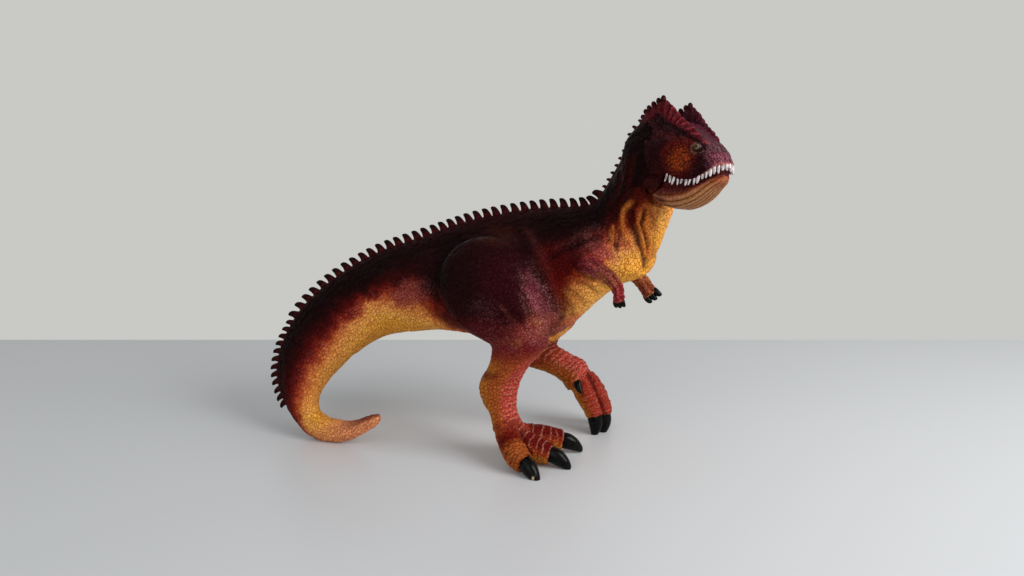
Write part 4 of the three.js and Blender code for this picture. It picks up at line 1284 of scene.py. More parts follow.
SPRAYS_AND_HIGHLIGHTS = (
    ColourPatch((4, 85), (40, 38), 0, 1.0, "#2A050A"),
    ColourPatch((-14, 88), (20, 26), 0, 0.7, "#1A0306"),
    # painted highlight: brownish sheen along the top of the hip
    ColourPatch((1, 108), (15, 5), -8, 0.55, "#3C160B"),
    ColourPatch((10, 86), (14, 18), 20, 0.65, "#34070F"),
    # painted sheen: purple-pink along the thigh's front edge
    ColourPatch((24.5, 80), (5.5, 18), 27, 0.75, "#823446"),
    ColourPatch((25, 64), (14, 12), 0, 0.85, "#7E2832"),
    ColourPatch((2, 64), (20, 12), 0, 0.8, "#541018"),
    ColourPatch((30.5, 83), (6, 19), 8, 0.85, "#660B0A"),
    ColourPatch((28, 98), (13, 11), 0, 0.8, "#4E0A07"),
    ColourPatch((34, 64), (10, 7), 55, 0.7, "#CC6838"),
    # painted sheen: pinkish red on the shoulder
    ColourPatch((50, 104), (12, 5), -35, 0.65, "#984440"),
    # painted highlight: pink on the upper chest
    ColourPatch((63, 107), (9, 8), 0, 0.45, "#D8845C"),
    ColourPatch((42, 97), (12, 5), -25, 0.85, "#4A0A12"),
    # the tail root's pink-maroon, partly a painted sheen
    ColourPatch((-48, 76), (15, 9), 25, 0.7, "#9A4438"),
    ColourPatch((-34, 87), (15, 18), 0, 0.9, "#22040A"),
    ColourPatch((-27, 88), (12, 24), 0, 0.9, "#0C0102"),
    ColourPatch((-23, 64), (17, 9), -20, 0.85, "#3C0A10"),
    ColourPatch((62.5, 119), (4, 10), 0, 0.7, "#3E0A0A"),
    ColourPatch((67, 127), (9, 6), 0, 0.75, "#56140A"),
    # painted highlight: orange-pink on the chest
    ColourPatch((57, 107), (8, 6), 0, 0.7, "#BC5A38"),
    ColourPatch((69.5, 117), (6, 11), 0, 0.75, "#984A1C"),
)

# Where a painted sheen lies pale on the skin's crests, in place of glints of light
SHEEN_PATCHES = (
    Patch((24, 79), (8, 24), 24, 0.9),
    Patch((53, 104), (22, 12), -20, 0.55),
    Patch((26, 68), (11, 15), 0, 0.7),
    Patch((-50, 74), (22, 11), 20, 0.6),
    Patch((-76, 60), (30, 12), 42, 0.45),
    Patch((-98, 38), (24, 10), 62, 0.3),
    Patch((6, 68), (24, 12), -45, 0.25),
)

# Where the belly's gold ends and the back's black begins, as height shares, by station
TONE_STOPS = (
    (0, -0.4, 0.4), (1, -0.25, 0.42), (2, -0.1, 0.5), (3, -0.02, 0.55), (4, 0.1, 0.7), (5, 0.22, 0.86),
    (6, 0.26, 0.84), (7, 0.08, 0.86), (8, -0.02, 0.8), (9, -0.06, 0.76), (10, -0.12, 0.77), (12, -0.2, 0.7),
    (14, -0.34, 0.7), (15, -0.38, 0.9), (16, -0.06, 0.98), (17, 0.1, 0.9), (18, 0.22, 0.8), (19, 0.22, 0.77),
    (20, 0.14, 0.82), (21, 0.06, 0.8), (22, -0.08, 0.85), (24, -0.16, 0.86), (26, -0.22, 0.96),
    (28, -0.25, 1.15), (29, -0.1, 1.3), (30, 0.1, 1.4), (32, 0.55, 1.7), (37, 0.9, 1.95),
)
TONES = (
    (0.0, "#F8AE42"), (0.14, "#FFB856"), (0.3, "#F09A4C"), (0.39, "#C25C30"), (0.47, "#94301A"),
    (0.57, "#66120D"), (0.7, "#3C0708"), (0.85, "#1E0203"), (1.0, "#120102"),
)


def toned(tone: np.ndarray) -> np.ndarray:
    """The sprayed paint from the belly's gold at 0 to the back's black at 1."""
    rows = [(stop, *linear(colour)) for stop, colour in TONES]
    return np.column_stack([read_off(rows, tone, k) for k in (1, 2, 3)])


@dataclass
class BodySkin:
    """Neck, trunk, tail and limbs as one run of skin, parted where the mouldings meet."""

    anatomy: Anatomy
    voxel: float = 0.72 * MM
    room_voxel: float = 0.4 * MM
    room_gap: float = 0.5 * MM
    crease_reach: float = 7 * MM
    wide_reach: float = 11 * MM
    crease_passes: int = 360
    trunk_map: TrunkMap = field(init=False)

    def __post_init__(self) -> None:
        """Prepares the map of the trunk."""
        self.trunk_map = TrunkMap(self.anatomy.body_loft())

    def build(self) -> None:
        """Builds, shapes, parts and paints the skin."""
        whole = self.union()
        labels = self.labels(points_of(whole))
        self.soften(whole, labels)
        places = points_of(whole)
        self.shape_trunk(whole)
        pieces = self.parted(whole, labels, places)
        self.finish_torso(pieces["torso"])
        for side in Side:
            LegFinish(self, side).apply(pieces[side.part("leg")])
            ArmFinish(self, side).apply(pieces[side.part("arm")])

    def union(self) -> bpy.types.Object:
        """All the body's forms grown together."""
        body = self.anatomy
        section = closed_section(TRUNK_SECTION, 96)
        trunk = loft_object("trunk", body.body_loft().sampled(420).rings(section))
        cut(trunk, self.jaw_room())
        parts = [trunk]
        for side in Side:
            parts.append(loft_object("leg", body.leg_loft(side).sampled(150).rings(round_section(48))))
            parts += [loft_object("toe", toe.rings(round_section(32))) for toe in body.toe_lofts(side, 40)]
            parts += [loft_object("arm", arm.rings(round_section(28))) for arm in body.arm_lofts(side, 40)]
        return grown_together(joined("skin", parts), self.voxel, 6)

    def jaw_room(self) -> bpy.types.Object:
        """The room that the jaw needs behind it as it opens."""
        body = self.anatomy
        grow = body.running_gap + self.room_gap
        rings = body.head_loft(JAW_ROWS).sampled(48).rings(closed_section(JAW_SECTION, 40), grow)
        jaw = loft_object("jaw_room", rings)
        hinge = body.hinge()
        reach = body.head_height
        cut(jaw, box_between((hinge.x - reach, -reach, -reach), (hinge.x, reach, reach)))
        there, back = Matrix.Translation(hinge), Matrix.Translation(-hinge)
        turns = [Matrix.Rotation(math.radians(body.mouth_opening * share), 4, "Y")
                 for share in (0, 0.25, 0.5, 0.75, 1, 1.08)]
        barrel = cylinder_across(body.barrel_radius + grow, body.barrel_width + 2 * grow)
        sweep = copied(jaw, [there @ turn @ back for turn in turns], "jaw_sweep")
        whole = grown_together(joined("jaw_room", [barrel, sweep]), self.room_voxel)
        whole.data.transform(body.head_frame())
        return whole

    def labels(self, points: np.ndarray) -> np.ndarray:
        """Finds which moulding each point belongs to.

        Args:
            points: the points.

        Returns:
            For each point 0 for the torso, 1 or 2 for a leg and 3 or 4 for an arm.
        """
        body = self.anatomy
        distances = [nearest_of(self.trunk_map.samples, points)[1]]
        legs = [[body.leg_loft(side).sampled(120), *body.toe_lofts(side, 30)] for side in Side]
        arms = [body.arm_lofts(side, 30) for side in Side]
        for lofts in legs + arms:
            samples = np.vstack([loft.surface(round_section(32)) for loft in lofts])
            distances.append(nearest_of(samples, points)[1])
        return np.argmin(np.array(distances), axis=0)

    def soften(self, whole: bpy.types.Object, labels: np.ndarray) -> None:
        """Fills the creases where thighs and shoulders grow out of the trunk.

        Args:
            whole: the whole skin.
            labels: which moulding each of its points belongs to.
        """
        ends = np.empty(len(whole.data.edges) * 2, np.int32)
        whole.data.edges.foreach_get("vertices", ends)
        first, second = ends.reshape(-1, 2).T
        points = points_of(whole)
        border = np.unique(ends.reshape(-1, 2)[labels[first] != labels[second]])
        _, distance = nearest_of(points[border], points)
        place = self.anatomy.unshifted(points) / MM
        low_front = ramp(place[:, 0], 12, 22) * ramp(-place[:, 2], -96, -86)
        above = ramp(place[:, 2], 66, 80) * ramp(-place[:, 0], -34, -26)
        behind = ramp(place[:, 2], 48, 58) * ramp(-place[:, 0], 2, 16)
        reach = self.crease_reach + self.wide_reach * np.maximum(above, behind)
        weight = ramp(-distance / reach, -1.0, -0.45) * (1 - 0.75 * low_front)
        count = np.bincount(ends, minlength=len(points))
        total = np.empty_like(points)
        for _ in range(self.crease_passes):
            for k in range(3):
                total[:, k] = np.bincount(first, points[second, k], len(points))
                total[:, k] += np.bincount(second, points[first, k], len(points))
            points += (total / count[:, None] - points) * (0.8 * weight)[:, None]
        move_points(whole, points)

    def shape_trunk(self, whole: bpy.types.Object) -> None:
        """Presses the folds and wrinkles into the whole skin.

        Args:
            whole: the whole skin.
        """
        points = points_of(whole)
        station, height, across = self.trunk_map.locate(points)
        flat = self.anatomy.unshifted(points)[:, [0, 2]] / MM
        relief = np.zeros(len(points))
        flank = self.flank(flat, across)
        for stroke in TRUNK_STROKES:
            relief += flank * stroke.depth * MM * stroke.mask(flat)
        relief += 0.2 * self.throat(station, height, across)
        coarse = cloud(np.column_stack([station * 8 / 9, height * 60 / 3.4, across * 3]), 1.0, 1.0)
        cross = cloud(points, 4.2 * MM, 2.0)
        fine = cloud(points, 1.9 * MM, 3.0, 2)
        relief -= 0.42 * MM * (1 - np.abs(coarse) * 2.2).clip(0, 1) ** 2
        relief += 0.2 * MM * cross + 0.13 * MM * fine
        raise_surface(whole, relief)

    @staticmethod
    def flank(flat: np.ndarray, across: np.ndarray) -> np.ndarray:
        """Where the folds of the sides show: on the flanks, and all round on the throat."""
        throat = ramp(flat[:, 0], 44, 50) * ramp(flat[:, 1], 86, 92)
        return np.maximum(ramp(np.abs(across), 0.35, 0.7), throat)

    @staticmethod
    def throat(station: np.ndarray, height: np.ndarray, across: np.ndarray) -> np.ndarray:
        """The long folds of the throat, from under the jaw down to the chest."""
        angle = np.arctan2(np.abs(across), 0.62 - height)
        sway = 0.25 * np.sin(station * 1.7) + 0.12 * np.sin(station * 3.9 + 1)
        wave = np.abs(np.sin(angle * 5.6 + sway)) ** 0.7
        mask = ramp(-station, -8.2, -5.5) * ramp(-height, -0.66, -0.45)
        return 0.85 * MM * (wave - 0.6) * mask

    def tone(self, points: np.ndarray) -> np.ndarray:
        """How dark the sprayed paint is at each point, from 0 on the belly to 1 on the back."""
        station, height, _ = self.trunk_map.locate(points)
        gold, dark = (read_off(TONE_STOPS, station, column) for column in (1, 2))
        wobble = 0.07 * cloud(points, 10 * MM, 5.0) + 0.05 * cloud(points, 2.6 * MM, 6.0)
        return np.clip((height + wobble - gold) / (dark - gold), 0, 1)

    def parted(self, whole: bpy.types.Object, labels: np.ndarray,
               places: np.ndarray) -> dict[str, bpy.types.Object]:
        """Cuts the skin where the mouldings meet and closes each piece inside.

        Args:
            whole: the whole skin, which is used up.
            labels: which moulding each of its points belongs to.
            places: where each of its points was before the folds were pressed in.

        Returns:
            The pieces, by name.
        """
        names = ["torso"] + [side.part(limb) for limb in ("leg", "arm") for side in Side]
        corners = np.empty(len(whole.data.polygons) * 4, np.int32)
        whole.data.polygons.foreach_get("vertices", corners)
        corners = corners.reshape(-1, 4)
        face_labels = np.array([np.bincount(row, minlength=5).argmax() for row in labels[corners]])
        points = points_of(whole)
        points[:, 2] = np.maximum(points[:, 2], 0.0)
        pieces = {}
        for label, name in enumerate(names):
            used, flat = np.unique(corners[face_labels == label], return_inverse=True)
            obj = object_of(f"{name}_skin", points[used], flat.reshape(-1, 4))
            keep_places(obj, places[used])
            self.close_inside(obj)
            pieces[name] = obj
        bpy.data.objects.remove(whole)
        return pieces

    def close_inside(self, obj: bpy.types.Object) -> None:
        """Closes each opening of a piece with a cone to a point inside the body, and drops stray bits.

        Args:
            obj: the piece.
        """
        bm = bmesh.new()
        bm.from_mesh(obj.data)
        islands = self.islands(bm)
        biggest = max(islands, key=len)
        stray = [vert for island in islands if island is not biggest for vert in island]
        bmesh.ops.delete(bm, geom=stray, context="VERTS")
        for loop in self.open_loops(bm):
            middle = sum((vert.co for vert in loop), Vector()) / len(loop)
            inward = Vector((0, self.anatomy.shift().y - middle.y, 0)).normalized() * 3 * MM
            apex = bm.verts.new(middle + inward)
            for a, b in zip(loop, loop[1:] + loop[:1]):
                bm.edges.get((a, b)).smooth = False
                bm.faces.new((b, a, apex))
        bm.to_mesh(obj.data)
        bm.free()

    @staticmethod
    def islands(bm: bmesh.types.BMesh) -> list[list[bmesh.types.BMVert]]:
        """The separate bits of a mesh, each as its points.

        Args:
            bm: the mesh.

        Returns:
            The points of each bit.
        """
        seen: set = set()
        found = []
        for start in bm.verts:
            if start in seen:
                continue
            seen.add(start)
            stack, island = [start], []
            while stack:
                vert = stack.pop()
                island.append(vert)
                for edge in vert.link_edges:
                    other = edge.other_vert(vert)
                    if other not in seen:
                        seen.add(other)
                        stack.append(other)
            found.append(island)
        return found

    @staticmethod
    def open_loops(bm: bmesh.types.BMesh) -> list[list[bmesh.types.BMVert]]:
        """The points round each opening of a mesh, in the order of its faces.

        Args:
            bm: the mesh.

        Returns:
            The points of each opening.
        """
        onward: dict = {}
        for edge in bm.edges:
            if len(edge.link_faces) == 1:
                loop = edge.link_loops[0]
                onward.setdefault(loop.vert, []).append(loop.link_loop_next.vert)
        loops = []
        while onward:
            vert = next(iter(onward))
            row = []
            while vert in onward:
                row.append(vert)
                following = onward[vert].pop()
                if not onward[vert]:
                    del onward[vert]
                vert = following
            if len(row) > 2:
                loops.append(row)
        return loops

    def hide(self, points: np.ndarray) -> tuple[np.ndarray, np.ndarray]:
        """Mixes the paint that trunk and limbs share: sprays, with painted shade and highlight on the folds.

        Args:
            points: the points.

        Returns:
            The colours, and how much painted sheen lies pale on the crests.
        """
        flat = (self.anatomy.unshifted(points) / MM)[:, [0, 2]]
        loose = flat + 1.5 * np.column_stack([cloud(points, 6 * MM, 7.0), cloud(points, 6 * MM, 8.0)])
        colours = coated(toned(self.tone(points)), *((colour_patch.colour, colour_patch.mask(loose)) for colour_patch in SPRAYS_AND_HIGHLIGHTS))
        flank = self.flank(flat, self.trunk_map.locate(points)[2])
        # Painted shade darkens each fold's groove, and a painted highlight lightens each ridge
        for stroke in TRUNK_STROKES:
            before, groove = stroke.line[0][0] > FRONT_FOLDS_FROM, stroke.depth < 0
            tint = ("#460C06" if groove else "#E88636") if before else ("#180205" if groove else "#8E4440")
            amount = min(0.95 * abs(stroke.depth), 0.92) * (1 if before else 0.75 if groove else 0.5)
            colours = coated(colours, (tint, amount * flank * stroke.mask(flat)))
        # Painted sheen on the crests, strongest in the sheen patches
        wear_and_sheen = 0.02 + np.max([patch.mask(loose) for patch in SHEEN_PATCHES], axis=0)
        return colours, np.clip(wear_and_sheen, 0, 1)

    def finish_torso(self, torso: bpy.types.Object) -> None:
        """Paints the torso, with the tail's pale end and its dark inner side.

        Args:
            torso: the torso's skin.
        """
        points = kept_places(torso)
        colours, wear_and_sheen = self.hide(points)
        station, height, _ = self.trunk_map.locate(points)
        inner = ramp(station, 32, 35.5) * ramp(-height, -0.42, -0.14)
        colours = coated(
            colours,
            ("#F09A70", 0.85 * ramp(station, 30, 34)),
            ("#5E1A1C", 0.8 * inner),
            ("#34080E", 0.8 * bell(height - 1.02, 0.07) * ramp(-station, -33, -30)))
        paint(torso, colours, wear_and_sheen * ramp(-height, -0.95, -0.75))
        finished(torso, FIGURE_BODY, "torso", SKIN.material())


@dataclass
class LegFinish:
    """The shape and paint of one leg's skin: thigh folds, scutes on the shank and the toes."""

    skin: BodySkin
    side: Side
    fine_below: float = 52 * MM
    toe_steps: int = 60
    toe_sides: int = 24

    def apply(self, leg: bpy.types.Object) -> None:
        """Refines, shapes and paints the leg.

        Args:
            leg: the leg's skin.
        """
        self.refine(leg)
        points = points_of(leg)
        station, front, distance = LimbMap(self.skin.anatomy.leg_loft(self.side)).locate(points)
        toe_along, toe_rise, beyond, outer = self.toe_places(points, distance)
        on_toe = ramp(beyond, -0.3 * MM, 0.6 * MM)
        shank = ramp(station, 7.6, 8.8) * (1 - on_toe)
        sway = cloud(points, 6 * MM, 8.0, 2)
        wide = 0.45 if self.side is Side.LEFT else 0.7
        plates = shank * ramp(front + 0.1 * sway, wide, wide + 0.22)
        scutes = self.plate(station * 2.1 + 0.55 * sway)
        between = self.between_toes(points)
        on_top = on_toe * ramp(toe_rise + 0.1 * sway, 0.5, 0.75)
        lines = self.ridge(toe_along * 6.5 + 0.3 * sway) * on_top * ramp(toe_along, 0.16, 0.34)
        pads = self.plate(toe_along * 17 + 0.5 * sway)
        wrinkles = self.plate(station * 1.7 + 0.9 * sway)
        relief = 0.46 * MM * (scutes - 0.4) * plates
        relief += 0.36 * MM * lines
        relief += 0.22 * MM * (pads - 0.5) * on_toe * ramp(-toe_rise, -0.4, 0)
        relief -= 0.9 * MM * between * on_toe
        relief += 0.3 * MM * (wrinkles - 0.5) * shank * (1 - ramp(front, 0.3, 0.6))
        relief += 0.1 * MM * cloud(points, 1.4 * MM, 9.0, 2)
        raise_surface(leg, relief)
        set_on_table(leg)
        foot = ramp(beyond, -2.5 * MM, 3 * MM)
        colours, wear_and_sheen = self.colours(kept_places(leg), station, front, foot, toe_rise + 0.22 * outer)
        patchy = 0.75 + 0.5 * cloud(points, 2 * MM, 10.0, 1)
        pale = 0.6 if self.side is Side.RIGHT else 0.35
        low_side = on_toe * ramp(toe_rise, 0.1, 0.4) * ramp(toe_along, 0.2, 0.4)
        dark = self.ridge(toe_along * 7.5 + 0.3 * sway) * low_side
        beside = on_toe * ramp(-toe_rise, -0.8, -0.65) * ramp(toe_rise, 0.25, 0.4)
        beside = beside * ramp(toe_along, 0.2, 0.35)
        colours = coated(
            colours,
            ("#DC9A84", pale * lines * patchy * (1 - outer)),
            ("#B8642C", 0.8 * outer * on_toe * ramp(toe_along, 0.3, 0.55)),
            ("#5A140C", 0.85 * outer * dark),
            ("#5A140C", 0.9 * beside * self.ridge(toe_along * 6.5 + 0.5 + 0.3 * sway)),
            # painted highlight on the scutes' crests and painted shade in the grooves between them
            ("#DC8C78", 0.4 * plates * ramp(scutes, 0.8, 1)),
            ("#4E1210", 0.75 * plates * ramp(-scutes, -0.35, -0.05)),
            # painted shade in the crease between the toes
            ("#4A100C", 0.85 * between * on_toe))
        paint(leg, colours, wear_and_sheen)
        finished(leg, FIGURE_BODY, self.side.part("leg"), SHANK_SKIN.material())

    def refine(self, leg: bpy.types.Object) -> None:
        """Splits the faces of the shank and foot, where the relief is fine.

        Args:
            leg: the leg's skin.
        """
        select_only(leg)
        bpy.ops.object.mode_set(mode="EDIT")
        bpy.ops.mesh.select_all(action="DESELECT")
        bm = bmesh.from_edit_mesh(leg.data)
        for face in bm.faces:
            face.select = face.calc_center_median().z < self.fine_below and len(face.verts) == 4
        bmesh.update_edit_mesh(leg.data)
        bpy.ops.mesh.subdivide(number_cuts=1, smoothness=0.0)
        bpy.ops.object.mode_set(mode="OBJECT")

    def toe_places(self, points: np.ndarray, leg_distance: np.ndarray) -> tuple[np.ndarray, ...]:
        """Where each point lies on its toe.

        Args:
            points: the points.
            leg_distance: how far each point is from the shank.

        Returns:
            How far along and how high on its toe each point is, how much nearer the toe is than the shank,
            and whether the toe is the right foot's outer one.
        """
        nearest = np.full(len(points), np.inf)
        along, rise, outer = np.zeros((3, len(points)))
        for k, toe in enumerate(self.skin.anatomy.toe_lofts(self.side, self.toe_steps)):
            index, distance = nearest_of(toe.surface(round_section(self.toe_sides)), points)
            ring = index // self.toe_sides
            closer = distance < nearest
            up = (points[:, 2] - toe.low[ring][:, 2]) / (toe.high[ring] - toe.low[ring])[:, 2]
            nearest = np.where(closer, distance, nearest)
            along = np.where(closer, ring / self.toe_steps, along)
            rise = np.where(closer, up, rise)
            outer = np.where(closer, float(k == 0 and self.side is Side.RIGHT), outer)
        return along, rise, leg_distance - nearest, outer

    def between_toes(self, points: np.ndarray) -> np.ndarray:
        """How close each point is to the crease between two toes, from 0 to 1."""
        toes = self.skin.anatomy.toe_lofts(self.side, 40)
        middles = np.sort([nearest_of((toe.high + toe.low) / 2, points)[1] for toe in toes], axis=0)
        return bell(middles[1] - middles[0], 0.9 * MM)

    @staticmethod
    def plate(place: np.ndarray) -> np.ndarray:
        """The profile of overlapping plates: a rounded rise and a quick fall, once per unit."""
        share, top = place % 1, 0.78
        rise = np.sin(share / top * math.pi / 2)
        return np.where(share < top, rise, np.cos((share - top) / (1 - top) * math.pi / 2))

    @staticmethod
    def ridge(place: np.ndarray) -> np.ndarray:
        """The profile of narrow raised lines, once per unit."""
        return bell(place % 1 - 0.5, 0.08)

    def colours(self, points: np.ndarray, station: np.ndarray, front: np.ndarray, foot: np.ndarray,
                toe_rise: np.ndarray) -> tuple[np.ndarray, np.ndarray]:
        """Thigh as dark as the back, shank red before and gold behind, toes red above and gold below.

        Args:
            points: the points, as they were before the folds were pressed in.
            station: how far down the leg each point is.
            front: how far to the leg's front it is.
            foot: how much it belongs to the foot.
            toe_rise: how high it is on its toe.

        Returns:
            The colours, and how much painted sheen lies pale on the crests.
        """
        right = self.side is Side.RIGHT
        wobble = 0.35 * cloud(points, 8 * MM, 11.0) + 0.2 * cloud(points, 2.4 * MM, 12.0)
        colours, wear_and_sheen = self.skin.hide(points)
        out = self.side.value * self.skin.anatomy.unshifted(points)[:, 1]
        inside = ramp(-out, -20 * MM, -12 * MM)
        start = 6.3 if right else 8.8
        level = station + wobble
        low = ramp(level, start + 0.1, start + 1.7)
        heel = bell(station - 8.3 + 0.4 * wobble, 0.4) * low * right
        colours = coated(
            colours,
            ("#B04C22", 0.85 * inside * ramp(station, 2, 5)),
            ("#701C26", ramp(level, start - 1.4, start - 0.2) * (1 - 0.8 * inside)),
            ("#8C3422", ramp(level, start - 0.5, start + 0.5)),
            ("#B25A28", low),
            ("#C27A2A", 0.85 * low * ramp(-front - 0.1 * wobble, -0.45, -0.15)),
            ("#C04A3A", low * ramp(front + 0.1 * wobble, 0.6, 0.82)),
            ("#6A1618", 0.75 * heel * ramp(-front, -0.6, -0.3)),
            ("#AC4A26", foot),
            ("#68100C" if right else "#A03828", foot * ramp(toe_rise, 0.55, 0.85)),
            ("#C87E2C", foot * ramp(-toe_rise, -0.6, -0.3)))
        # Painted sheen also on the shank's front
        return colours, np.maximum(wear_and_sheen, 0.4 * low * ramp(front, 0.5, 0.8) * (1 - foot))


@dataclass
class ArmFinish:
    """The shape and paint of one arm's skin."""

    skin: BodySkin
    side: Side
    steps: int = 40

    def apply(self, arm: bpy.types.Object) -> None:
        """Refines, shapes and paints the arm.

        Args:
            arm: the arm's skin.
        """
        modified(arm, "SUBSURF", levels=1, subdivision_type="SIMPLE")
        forearm = self.skin.anatomy.arm_lofts(self.side, self.steps)[1]
        points = points_of(arm)
        station, front, distance = LimbMap(forearm).locate(points)
        lower = ramp(-distance, -1.2 * MM, -0.4 * MM) * ramp(station, 4, 10)
        across = cloud(points, 5 * MM, 14.0, 1)
        cords = np.abs(np.sin(front * 7 + 0.8 * across + 0.4))
        relief = 0.4 * MM * (cords - 0.5) * lower + 0.12 * MM * cloud(points, 1.5 * MM, 15.0, 2)
        raise_surface(arm, relief)
        wobble = 0.1 * cloud(points, 5 * MM, 16.0)
        colours, wear_and_sheen = self.skin.hide(kept_places(arm))
        upper, hand = ("#701624", "#92282E") if self.side is Side.RIGHT else ("#B46A30", "#8A4424")
        colours = coated(
            colours,
            (upper, 0.9 * lower),
            (hand, lower * ramp(station / self.steps + wobble, 0.45, 0.9)),
            # painted shade between the cords and painted highlight on their crests
            ("#3C0A10", 0.7 * lower * ramp(-cords, -0.4, -0.1)),
            ("#C06468", 0.3 * lower * ramp(cords, 0.88, 1)))
        # Painted sheen also on the forearm
        paint(arm, colours, np.maximum(wear_and_sheen, 0.5 * lower))
        finished(arm, FIGURE_BODY, self.side.part("arm"), SKIN.material())


@dataclass
class BackFins:
    """The row of small fins along the neck, back and tail, each leaning to the tail."""

    skin: BodySkin
    steps: int = 1500

    def build(self) -> None:
        """Models one fin and copies it along the back."""
        fin = horn("fin", (
            (-0.6, 0.0, 1.1, 1.3), (0.0, 0.0, 1.0, 1.1), (0.34, -0.04, 0.82, 0.86),
            (0.7, -0.13, 0.76, 0.7), (0.95, -0.24, 0.6, 0.54), (1.08, -0.3, 0.3, 0.28)))
        fins = copied(fin, self.places(), "back_fins")
        points = points_of(fins)
        _, height, _ = self.skin.trunk_map.locate(points)
        colours = coated(
            plain("#160304", points),
            ("#44090C", ramp(-height, -1.05, -0.99)),
            ("#6A1C1A", 0.25 * ramp(cloud(points, 1.5 * MM, 21.0), 0.1, 0.7)))
        paint(fins, colours, 0.1)
        finished(fins, FIGURE_BODY, "torso", FIN_SKIN.material())

    def places(self) -> list[Matrix]:
        """Where each fin stands on the back's line."""
        body = self.skin.anatomy
        line = body.body_loft().sampled(self.steps)
        _, upward, _ = line.axes()
        length = lengths_along(line.high)
        width, rise = body.fin_width, body.fin_height
        places = []
        for first, last, count, size in SPINE_ROWS:
            scale = Matrix.Diagonal((body.fin_length * size, width * size, rise * size, 1))
            for share in np.linspace(first, last, count):
                i, ahead = spot_on(line.high, length, share * length[-1])
                up = unit(upward[i] - ahead * (upward[i] @ ahead))
                places.append(standing(line.high[i], up, -ahead) @ scale)
        return places


@dataclass
class ToeClaws:
    """The thick curved claws of both feet and the small claw on each foot's inner side."""

    anatomy: Anatomy
    small_width: float = 3.8 * MM
    small_length: float = 5.6 * MM
    chip_radius: float = 1.3 * MM

    def build(self) -> None:
        """Models one claw and copies it to each toe."""
        for side in Side:
            claw = horn("claw", (
                (-0.35, 0.0, 0.96, 0.84), (0.06, 0.02, 1.2, 1.04), (0.4, -0.04, 1.14, 0.98),
                (0.7, -0.2, 0.9, 0.8), (0.92, -0.4, 0.56, 0.5), (1.0, -0.48, 0.26, 0.24)), levels=3)
            claws = copied(claw, self.places(side), side.part("toe_claws"))
            set_on_table(claws)
            points = points_of(claws)
            colours = plain("#050404", points)
            if side is Side.RIGHT:
                chip = bell(np.linalg.norm(points - self.chip(), axis=1), self.chip_radius)
                ragged = chip + 0.3 * cloud(points, 1 * MM, 23.0)
                colours = coated(colours, ("#CDB79A", ramp(ragged, 0.35, 0.6)))
            paint(claws, colours)
            finished(claws, FIGURE_BODY, side.part("leg"), CLAW_GLOSS.material())

    def chip(self) -> np.ndarray:
        """Where the paint is scuffed off the right foot's outer claw."""
        places, _ = self.anatomy.toe_places(Side.RIGHT)[0]
        onward = unit(places[-1] - places[-2])
        return places[-1] + onward * 7 * MM - np.array((0, 3.4, 2)) * MM

    def places(self, side: Side) -> list[Matrix]:
        """Finds where each claw of one foot starts and points.

        Args:
            side: the foot's side.

        Returns:
            The claws' matrices, the small one last.
        """
        body = self.anatomy
        big = Matrix.Diagonal((body.claw_width, body.claw_width, body.claw_length, 1))
        matrices = []
        for places, _ in body.toe_places(side):
            onward = unit(places[-1] - places[-2])
            matrices.append(standing(places[-1], onward, (0, 0, 1)) @ big)
        along, rise, out = (0.03, 0.185, -0.7) if side is Side.RIGHT else (0.3, 0.28, -0.76)
        place = np.array((along * body.hip_height, side.value * (body.leg_spread + body.toe_width * out),
                          rise * body.hip_height)) + np.array(body.shift())
        onward = unit(np.array((0.15, -side.value * 0.6, -1.0)))
        small = Matrix.Diagonal((self.small_width, self.small_width, self.small_length, 1))
        matrices.append(standing(place, onward, (-1, 0, 0.2)) @ small)
        return matrices


@dataclass
class Fingers:
    """Three short clawed fingertips on each hand."""

    anatomy: Anatomy

    def build(self) -> None:
        """Models one finger claw and copies it to each hand."""
        for side in Side:
            claw = horn("finger", (
                (-0.5, 0.0, 0.9, 0.9), (0.0, 0.0, 1.05, 1.05), (0.35, -0.03, 1.0, 1.0),
                (0.68, -0.12, 0.78, 0.78), (0.86, -0.2, 0.4, 0.4)))
            claws = copied(claw, self.places(side), side.part("finger_claws"))
            paint(claws, plain("#060505", points_of(claws)), 0.1)
            finished(claws, FIGURE_BODY, side.part("arm"), CLAW_GLOSS.material())

    def places(self, side: Side) -> list[Matrix]:
        """Finds where each finger claw of one hand starts and points.

        Args:
            side: the hand's side.

        Returns:
            The claws' matrices.
        """
        path, _ = self.anatomy.arm_places(side)[1]
        onward = unit(path[-1] - path[-2])
        across = unit(np.cross(onward, (0, 1, 0)))
        wide, gap = (2.5 * MM, 1.5 * MM) if side is Side.RIGHT else (3.5 * MM, 2.7 * MM)
        size = Matrix.Diagonal((wide, wide, 1.25 * wide, 1))
        matrices = []
        for k in (-1, 0, 1):
            place = path[-1] + across * gap * k - onward * 0.3 * MM * abs(k)
            matrices.append(standing(place, onward + 0.12 * k * across, -across) @ size)
        return matrices


